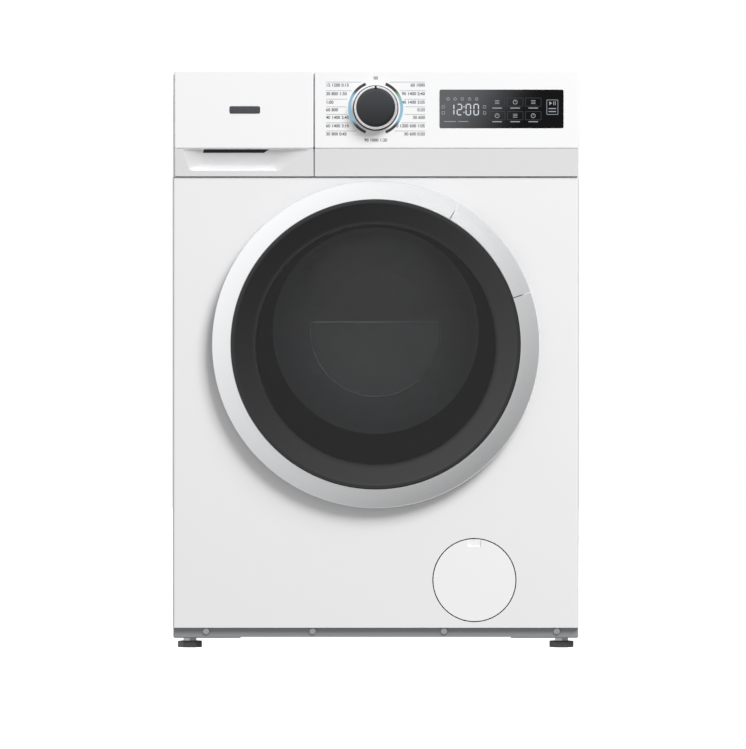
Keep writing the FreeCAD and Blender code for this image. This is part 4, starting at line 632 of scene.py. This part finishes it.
# %% Black print behind the window
print_front, print_back = rim + 21.15, rim + 21.35
print_rings = [ring_at(disc(0, z, radius, 160), y) for z, radius, y in (
    (door_z, 177, print_front), (axis_z, 151, print_front),
    (axis_z, 151, print_back), (door_z, 177, print_back))]
piece("window_print", "door", "smoked_window", skin(print_rings, closed=True), finish="deep_black")

# %% [markdown]
# The glass bowl is turned, with its top pressed down into a sloping facet that throws the laundry
# back. Here the turned points that rise above the facet are lowered onto it, which gives the
# straight crease without any cutting.

# %% Glass bowl
glass_low, glass_high = span("door_glass")
bowl_front, bowl_back, wall = glass_low[1] + 4.5, glass_high[1], 5.0


def bowl_side(front, back, mouth, far, count=36):
    """Side of the bowl from its mouth to the middle of its end: a slow taper, then a round end."""
    t = np.linspace(0, 1, count)
    y = front + 8 + (back - 8 - front - 8) * t
    r = mouth + (far - mouth) * (1 - np.cos(np.pi * t)) / 2 * 0.5 + (far - mouth) * t * 0.5
    turn = np.linspace(0, np.pi / 2, 7)[1:]
    end = np.stack([back - 8 + 8 * np.sin(turn), far - 8 + 8 * np.cos(turn)], -1)
    return np.concatenate([np.stack([y, r], -1), end, [(back, 0.8)]])


outer = bowl_side(bowl_front, bowl_back, 151, 101)
inner = bowl_side(bowl_front, bowl_back - wall, 146, 96)[::-1]
flange = np.array([(bowl_front + 0.2, 151), (bowl_front - 0.4, 163.5),
                   (bowl_front - 4.3, 163.5), (bowl_front - 4.3, 147)])
profile = np.concatenate([inner, flange[::-1], outer])
thinner = np.concatenate([np.full(len(inner), wall), np.zeros(len(flange) + len(outer))])[:, None]
a = np.linspace(0, 2 * np.pi, 192, endpoint=False)[None, :]
y, r = profile[:, :1], profile[:, 1:]
step_y = bowl_front + 26
slope = np.clip((y - step_y) / (bowl_back - step_y), 0, 1)
facet = FACET_START - (FACET_START - FACET_END) * slope
limit = np.where(y > step_y, facet, 400.0) - thinner * 0.7
x_bowl, z_bowl = r * np.cos(a), np.minimum(r * np.sin(a), limit)
bowl = skin(np.stack([x_bowl, y + 0 * a, axis_z + z_bowl], -1))
piece("glass_bowl", "door", "clear_glass", bowl, ["door_glass"])

# %% [markdown]
# ## Door seal
# The rubber seal is a bellows between the fixed front and the swinging tub. Its middle line goes
# in and out in soft folds, and the wall is that line moved half its thickness to each side.

# %% Bellows


def ribbon(path, thick, steps=6):
    """Closed outline of a wall: a smoothed path moved along its normal to both sides."""
    path = np.array(path, float)
    t = np.linspace(0, len(path) - 1, (len(path) - 1) * steps + 1)
    whole = np.minimum(t.astype(int), len(path) - 2)
    f = (t - whole)[:, None]
    p0, p1 = path[np.maximum(whole - 1, 0)], path[whole]
    p2, p3 = path[whole + 1], path[np.minimum(whole + 2, len(path) - 1)]
    square, cube = 2 * p0 - 5 * p1 + 4 * p2 - p3, 3 * p1 - 3 * p2 + p3 - p0
    line = 0.5 * (2 * p1 + (p2 - p0) * f + square * f**2 + cube * f**3)
    along = np.gradient(line, axis=0)
    along /= np.linalg.norm(along, axis=1, keepdims=True)
    normal = np.stack([along[:, 1], -along[:, 0]], -1)
    return np.concatenate([line + normal * thick / 2, (line - normal * thick / 2)[::-1]])


seal_low, seal_high = span("door_gasket")
s0, s1 = seal_low[1], seal_high[1]
folds = [(s0 + 3.5, 152.5), (s0 + 6, 161), (s0 + 13, 168), (s0 + 24, 169.5),
         (s0 + 30, 163), (s0 + 37, 168.5),
         (s0 + 44, 168), (s0 + 47, 161), (s1 - 8, 159), (s1 - 1.6, 158.6)]
bellows = swept(ribbon(folds, 2.8), 0, axis_z)
piece("door_seal", "cabinet", "grey_rubber", bellows, ["door_gasket"], sharp=60)

# %% [markdown]
# ## Console and drawer front
# Both are one moulding in section: a flat upper face, a crease, and a lower band that slopes
# back. They are made as an upper block with rounded edges and a lower block whose front follows
# the slope, and the fine gap between them is the crease. The drawer's band has a finger recess:
# its mouth, a trapezium, is joined ring by ring to a smaller, deeper one.

# %% Fascia blocks
drawer_high = span("drawer_front")[1]
fascia_low, toe_y = console_low[2] + 0.05, span("front_panel")[0][1] - 3
SPLIT_X, SPLIT_GAP = -90.5, 1.5  # the upright gap between drawer and console
drawer_x = (console_low[0] + 2.5, SPLIT_X - SPLIT_GAP / 2)
console_x = (SPLIT_X + SPLIT_GAP / 2, console_high[0])


def band(z):
    """Depth of the sloping band: a straight line from the crease to the toe."""
    return face_y + (crease_z - z) / (crease_z - fascia_low) * (toe_y - face_y)


def sides(corners, per_side=40):
    """Closed outline with the same number of points on each straight side."""
    corners = np.array(corners, float)
    pairs = zip(corners, np.roll(corners, -1, 0))
    return np.concatenate([np.linspace(a, b, per_side, endpoint=False) for a, b in pairs])


def softened(outline, reach=2):
    """Outline with rounded corners: each point is the mean of its neighbours up to reach steps away."""
    return np.mean([np.roll(outline, k, 0) for k in range(-reach, reach + 1)], axis=0)


def lower_block(x0, x1, back, *recess):
    """Block behind the sloping band, with its front edges eased, and the rings of a recess in it."""
    top = crease_z - 0.2
    border = sides([(x0, fascia_low), (x1, fascia_low), (x1, top), (x0, top)])
    rings = [ring_at(border, back), ring_at(border, lambda z: band(z) + 0.6)]
    for e in (0.6, 1.2):
        low, high = fascia_low + e, top - e / 3
        eased = [(x0 + e, low), (x1 - e, low), (x1 - e, high), (x0 + e, high)]
        rings.append(ring_at(sides(eased), band))
    return skin([*rings, *recess])


def upper_block(x0, x1, back):
    """Block behind the flat face, from the crease to the top, with rounded edges."""
    return plate(rectangle(x0, crease_z + 0.2, x1, console_high[2], 2.4), face_y, back - face_y, 1.2)


FLOOR_LOW, FLOOR_WALL, FLOOR_LEAN = 703, 2.2, 16  # the recess's floor: lowest z, wall, lean


def recess_floor(z):
    """Depth of the recess's floor: deepest at the bottom, and leaning out towards the crease."""
    lean = FLOOR_LEAN * (z - FLOOR_LOW) / (crease_z - FLOOR_LOW)
    return drawer_high[1] - FLOOR_WALL - lean


mouth_high = crease_z - 0.9
mouth = softened(sides([(-273, 701.2), (-140.5, 701.2), (-94.5, mouth_high), (-283, mouth_high)]), 3)
floor_line = sides([(-261, FLOOR_LOW), (-147, FLOOR_LOW), (-137, crease_z - 1), (-250, crease_z - 1)])
recess = [ring_at(softened(mouth, reach), lambda z: band(z) + back)
          for reach, back in ((0, 0), (1, 0.7))]
recess.append(ring_at(floor_line, recess_floor))
# Painted shadow: a black plate just in front of the recess's floor stands for the shadow in the finger
# slot under the upper face.
slot_line = sides([(-254, 727.4), (-164, 727.4), (-156, crease_z - 0.7), (-258, crease_z - 0.7)], 8)
painted_shadow_rings = [ring_at(slot_line, lambda z: recess_floor(z) + offset) for offset in (-0.3, 1)]
drawer_shapes = [lower_block(*drawer_x, drawer_high[1], *recess), upper_block(*drawer_x, drawer_high[1])]
piece("drawer_fascia", "drawer", "white_plastic", gather(drawer_shapes), ["drawer_front"])
piece("slot_painted_shadow", "drawer", "white_plastic", skin(painted_shadow_rings), finish="deep_black")
tray_gap = rectangle(-287, 740.5, -101, 796.5)
frame_line = rectangle(console_low[0], fascia_low, console_x[0] + 3, console_high[2])
behind, back_y = drawer_high[1] + 1, console_high[1]
surround = skin([ring_at(frame_line, behind), ring_at(tray_gap, behind),
                 ring_at(tray_gap, back_y), ring_at(frame_line, back_y)], closed=True)
console_shapes = [lower_block(*console_x, back_y), upper_block(*console_x, back_y), surround]
piece("console_fascia", "cabinet", "white_plastic", gather(console_shapes), ["console"])

# %% [markdown]
# ## Programme knob
# The knob is a dark cap in a bright ring, with a black notch that points at the chosen programme.
# A dark ring behind the collar is painted shade round its edge, and stays with the console when the knob
# turns.

# %% Knob, ring and pointer
k0, k1 = knob_low[1], knob_high[1]
cap = rounded([(k0, 1), (k0, 24.5), (k0 + 1.6, 28.2), (k1, 28.2), (k1, 5), (k0 + 4, 5), (k0 + 4, 1)],
              [0, 6, 1, 0.4, 0.4, 0.4, 0], 7)
piece("knob_cap", "programme_knob", "knob_grey", turned(cap, 0, knob_z, 128), ["knob"])
collar = rounded([(k0 + 1.2, 28.4), (k0 + 1.2, 30.2), (k0 + 4, 31.7), (k1, 31.7), (k1, 28.4)],
                 [0.4, 1.2, 2, 0.4, 0.4])
piece("knob_collar", "programme_knob", "knob_silver", swept(collar, 0, knob_z, steps=128), ["knob_ring"])
notch = rectangle(-1.6, knob_z + 25, 1.6, knob_z + 31.4, 0.8)
pointer = plate(notch, k0 + 0.9, 2.5, 0.2)
piece("knob_pointer", "programme_knob", "knob_grey", pointer, finish="deep_black")
# Painted shade: a thin dark ring on the console round the collar stands for the knob's shadow line.
shade = [(face_y - 0.3, 29), (face_y - 0.3, 33.4), (face_y + 0.2, 33.4), (face_y + 0.2, 29)]
piece("knob_painted_shade", "cabinet", "dark_plastic", swept(shade, 0, knob_z, steps=96))

# %% [markdown]
# ## Print and lights round the knob
# Two curved light guides flank the knob. Programme numbers stand in two columns, each with a fine
# line to its place on the dial. Only numbers are used, such as a temperature, a spin speed and a
# duration.

# %% Light guides
guide = [(face_y - 0.25, 36.2), (face_y - 0.25, 40.3), (face_y + 0.3, 40.3), (face_y + 0.3, 36.2)]
guides = [swept(guide, 0, knob_z, first, first + 135, 48) for first in (-67.5, 112.5)]
piece("dial_light_guides", "cabinet", "white_plastic", gather(guides), finish="dial_glow")

# %% Lettering and icons


def lettering(text, x, z, size, front, align="LEFT"):
    """Flat figures from the built-in font as a mesh shape, turned upright and set in front of a face."""
    curve = bpy.data.curves.new("figures", "FONT")
    curve.body, curve.size, curve.align_x, curve.align_y = text, size, align, "CENTER"
    curve.extrude, curve.offset = 0.03, 0.12
    holder = bpy.data.objects.new("figures", curve)
    mesh = bpy.data.meshes.new_from_object(holder)
    flat = np.empty(len(mesh.vertices) * 3)
    mesh.vertices.foreach_get("co", flat)
    u, v, w = flat.reshape(-1, 3).T
    faces = [list(face.vertices) for face in mesh.polygons]
    bpy.data.objects.remove(holder)
    bpy.data.meshes.remove(mesh)
    bpy.data.curves.remove(curve)
    return np.stack([x + u, front - w, z + v], -1), faces


def stroke(x0, z0, x1, z1, width, front, thick=0.12):
    """Straight line of print: a thin bar between two points."""
    along = np.array([x1 - x0, z1 - z0]) / math.hypot(x1 - x0, z1 - z0)
    across = np.array([-along[1], along[0]]) * width / 2
    ends = np.array([(x0, z0), (x1, z1)])
    outline = np.stack([ends[0] - across, ends[1] - across, ends[1] + across, ends[0] + across])
    return plate(outline, front, thick)


def hoop(outline, width, front, thick=0.12):
    """Outlined shape: the band between an outline and the same outline inset."""
    inner = inset(outline, width)
    rings = [(outline, front), (inner, front), (inner, front + thick), (outline, front + thick)]
    return skin([ring_at(line, y) for line, y in rings], closed=True)


TEXT_SIZE, LINE_RISE, LINE_WIDTH = 6.4, 4.6, 0.6
LEFT_EDGE, RIGHT_EDGE, LINE_END = -73, 72, 73
DIAL_REACH, DIAL_LEAST = 43.5, 17  # where a line stops: on this radius, or this far from the middle
levels = (826.2, 813.5, 801.1, 789.9, 778.8, 766.4, 754.5)
left_rows = ("15 1200 0:15", "30 800 1:30", "1:00", "60 800", "40 1400 2:45", "60 1400 3:10",
             "30 800 0:45")
right_rows = ("60 1000", "90 1400 2:40", "40 1400 3:05", "0:20", "30 600", "40 1200 600 1:05",
              "30 600 0:50")
printed, lines = [], []
on_face = face_y - 0.06
for z, left, right in zip(levels, left_rows, right_rows):
    printed.append(lettering(left, LEFT_EDGE, z, TEXT_SIZE, on_face))
    printed.append(lettering(right, RIGHT_EDGE, z, TEXT_SIZE, on_face, "RIGHT"))
    line_z = z + LINE_RISE
    start = math.sqrt(max(DIAL_REACH**2 - (line_z - knob_z) ** 2, DIAL_LEAST**2))
    for sign in (-1, 1):
        lines.append(stroke(sign * start, line_z, sign * LINE_END, line_z, LINE_WIDTH, on_face))
for text, z in (("00", 836.5), ("90 1000 1:20", 745.5)):
    printed.append(lettering(text, 0, z, TEXT_SIZE, on_face, "CENTER"))
piece("programme_lines", "cabinet", "white_plastic", gather(lines), finish="line_grey")
piece("programme_figures", "cabinet", "white_plastic", gather(printed), finish="print_grey")
blank = plate(rectangle(-214.5, 784.5, -169.5, 795.5, 2.4), face_y - 0.5, 0.7, 0.4)
piece("blank_nameplate", "drawer", "white_plastic", blank, finish="nameplate_grey")

# %% [markdown]
# ## Display
# Behind the black pane shine a clock in seven-segment figures, a row of small signs and six touch
# keys drawn as outlines. The segments are bars; a table says which of the seven bars each figure
# lights.

# %% Clock figures
pane = display_low[1] - 0.06
SEGMENTS = {"0": "abcdef", "1": "bc", "2": "abged"}


def figure(digit, x, z, width, height):
    """Seven-segment figure: bars a to g round two squares, clockwise from the top, g in the middle."""
    gap, half = 0.7, height / 2
    left, right, low, mid, high = x, x + width, z - half, z, z + half
    bars = {
        "a": (left + gap, high, right - gap, high), "b": (right, mid + gap, right, high - gap),
        "c": (right, low + gap, right, mid - gap), "d": (left + gap, low, right - gap, low),
        "e": (left, low + gap, left, mid - gap), "f": (left, mid + gap, left, high - gap),
        "g": (left + gap, mid, right - gap, mid),
    }
    return [stroke(*bars[name], 1.5, pane) for name in SEGMENTS[digit]]


clock = []
for digit, x in zip("1200", (108, 119.5, 132.5, 144)):
    clock += figure(digit, x, 790.5, 6.6, 15.5)
clock += [plate(disc(129.4, z, 0.9, 16), pane, 0.12) for z in (786.5, 794.5)]
piece("clock_figures", "cabinet", "black_gloss", gather(clock), finish="lit_white")

# %% Signs and touch keys
signs = []
for x in (106, 116.5, 127, 137.5, 148):
    signs.append(hoop(disc(x, 806, 2.4, 20), 0.6, pane))
    signs.append(stroke(x - 1.1, 806, x + 1.1, 806, 0.6, pane))
for x in (99, 159.5):
    for z in (794.5, 785.5):
        signs.append(hoop(rectangle(x - 2.2, z - 2.2, x + 2.2, z + 2.2, 0.8), 0.6, pane))
signs.append(stroke(100, 773, 118, 773, 0.9, pane))
signs.append(stroke(121, 773, 136, 773, 0.9, pane))
keys, outlines = [], []
for column, x in enumerate((178, 204.5, 231)):
    for row, z in enumerate((801.5, 781.5)):
        outlines.append(hoop(rectangle(x - 11.8, z - 6.4, x + 11.8, z + 6.4, 1), 0.7, pane))
        if (column + row) % 2:
            keys.append(hoop(disc(x, z, 3.4, 20), 0.8, pane))
            keys.append(stroke(x, z, x, z + 2.2, 0.7, pane))
        else:
            keys += [stroke(x - 3.2, z + h, x + 3.2, z + h, 0.8, pane) for h in (-2.2, 0, 2.2)]
        keys.append(stroke(x - 7, z - 8.8, x + 7, z - 8.8, 1.3, pane))
keys.append(hoop(rectangle(250.5, 783, 267.5, 805, 1.2), 0.7, pane))
arrow = np.array([(254.5, 797), (254.5, 802.6), (258.7, 799.8)])
keys.append(plate(arrow, pane, 0.12))
keys += [stroke(x, 797, x, 802.6, 1, pane) for x in (261, 263.4)]
keys += [stroke(253.5, z, 264.5, z, 1.3, pane) for z in (792, 787.6)]
piece("key_outlines", "cabinet", "black_gloss", gather(outlines), finish="key_outline")
piece("display_signs", "cabinet", "black_gloss", gather(signs), finish="dim_white")
piece("touch_keys", "cabinet", "black_gloss", gather(keys), finish="dim_white")

# %% [markdown]
# ## Finishes on the frame's own parts
# Every part of the frame names a slot. The finish of that slot goes on its mesh, and nothing else
# about it changes.

# %% Dress the frame and the pieces
slot_of = {row["node"]: row["material_slot"] for row in frame["record"]["subparts"]}
for node, slot in slot_of.items():
    mesh = frame["nodes"][node].data
    mesh.materials.clear()
    mesh.materials.append(finishes[slot].material)
for name, finish in made.items():
    bpy.data.objects[name].data.materials.append(finishes[finish].material)
print(len(slot_of), "parts and", len(made), "new pieces dressed")

# %% [markdown]
# ## Floor, light and camera
# A plain pale floor runs under the machine. A broad key lamp stands high on the right in front
# and draws the soft shadow of the door's ring down to the left, and a weaker one lights the back.
# The room is a gradient, bright on the upper left and dim on the lower right. Mirrored in the
# ring, the dish and the glass it is strong, its light on matt faces is nearly even, and straight
# into the camera it is plain white.

# %% Floor
pale = moulded("pale_floor", tone(250), 0.7, grain=30, depth=0.0001, drift=0.01, Emission_Strength=0.97)
pale.set(Emission_Color=tone(255))
floor_points, floor_faces = plate(rectangle(-9000, -9000, 9000, 9000), 0, 20)
ground = bpy.data.meshes.new("floor")
ground.from_pydata((floor_points[:, [0, 2, 1]] * [1, 1, -1] * MM).tolist(), [], floor_faces)
ground.materials.append(pale.material)
floor = bpy.data.objects.new("floor", ground)
floor.visible_glossy = floor.visible_diffuse = False
bpy.context.scene.collection.objects.link(floor)
print("floor at z", max(v.co.z for v in ground.vertices))

# %% Room and lamps
UPPER_LEFT = (-0.707, 0, 0.707)
world = bpy.data.worlds.new("studio")
bpy.context.scene.world = world
world.use_nodes = True
world.node_tree.nodes.clear()
room = Graph(world.node_tree)
direction = room.node("ShaderNodeTexCoord", output="Generated")
settings = {"operation": "DOT_PRODUCT"}
glance = room.node("ShaderNodeVectorMath", settings, {0: direction, 1: UPPER_LEFT}, "Value")
mirrored = room.node("ShaderNodeLightPath", output="Is Glossy Ray")
in_mirrors, on_matt = (0.66 + glance * 0.42).most(0.2), 0.43 + glance * 0.08
level = in_mirrors * mirrored + on_matt * (1 - mirrored)
soft = room.node("ShaderNodeBackground", {}, {"Color": (1, 1, 1, 1), "Strength": level})
white = room.node("ShaderNodeBackground", {}, {"Color": (1, 1, 1, 1), "Strength": 1.0})
straight = room.node("ShaderNodeLightPath", output="Is Camera Ray")
both = room.node("ShaderNodeMixShader", {}, {0: straight, 1: soft, 2: white})
end = room.tree.nodes.new("ShaderNodeOutputWorld")
room.tree.links.new(both.socket, end.inputs["Surface"])


def lamp(name, place, target, size, watts):
    """Square area lamp that looks from its place to a target, both in metres."""
    light = bpy.data.lights.new(name, "AREA")
    light.shape, light.size, light.energy = "SQUARE", size, watts
    holder = bpy.data.objects.new(name, light)
    holder.location = place
    holder.rotation_mode = "QUATERNION"
    holder.rotation_quaternion = (Vector(target) - Vector(place)).to_track_quat("-Z", "Y")
    holder.visible_glossy = False
    bpy.context.scene.collection.objects.link(holder)
    return holder


key = lamp("key_lamp", (3.1, -4.8, 5.1), (0, -0.24, 0.45), 3.2, 480)
lamp("rear_lamp", (-2.6, 3.4, 2.4), (0, 0.2, 0.4), 2.4, 150)
print("key lamp", [round(c, 2) for c in key.location])

# %% Camera
lens = bpy.data.cameras.new("camera")
lens.sensor_fit, lens.sensor_width, lens.lens = "HORIZONTAL", 36, 287.6
camera = bpy.data.objects.new("camera", lens)
camera.location = (-0.004, -9.0, 0.402)
camera.rotation_euler = (math.pi / 2, 0, 0)
bpy.context.scene.collection.objects.link(camera)
bpy.context.scene.camera = camera
bpy.context.scene.view_settings.view_transform = "Standard"
print("camera looks along +Y from", [round(c, 3) for c in camera.location])
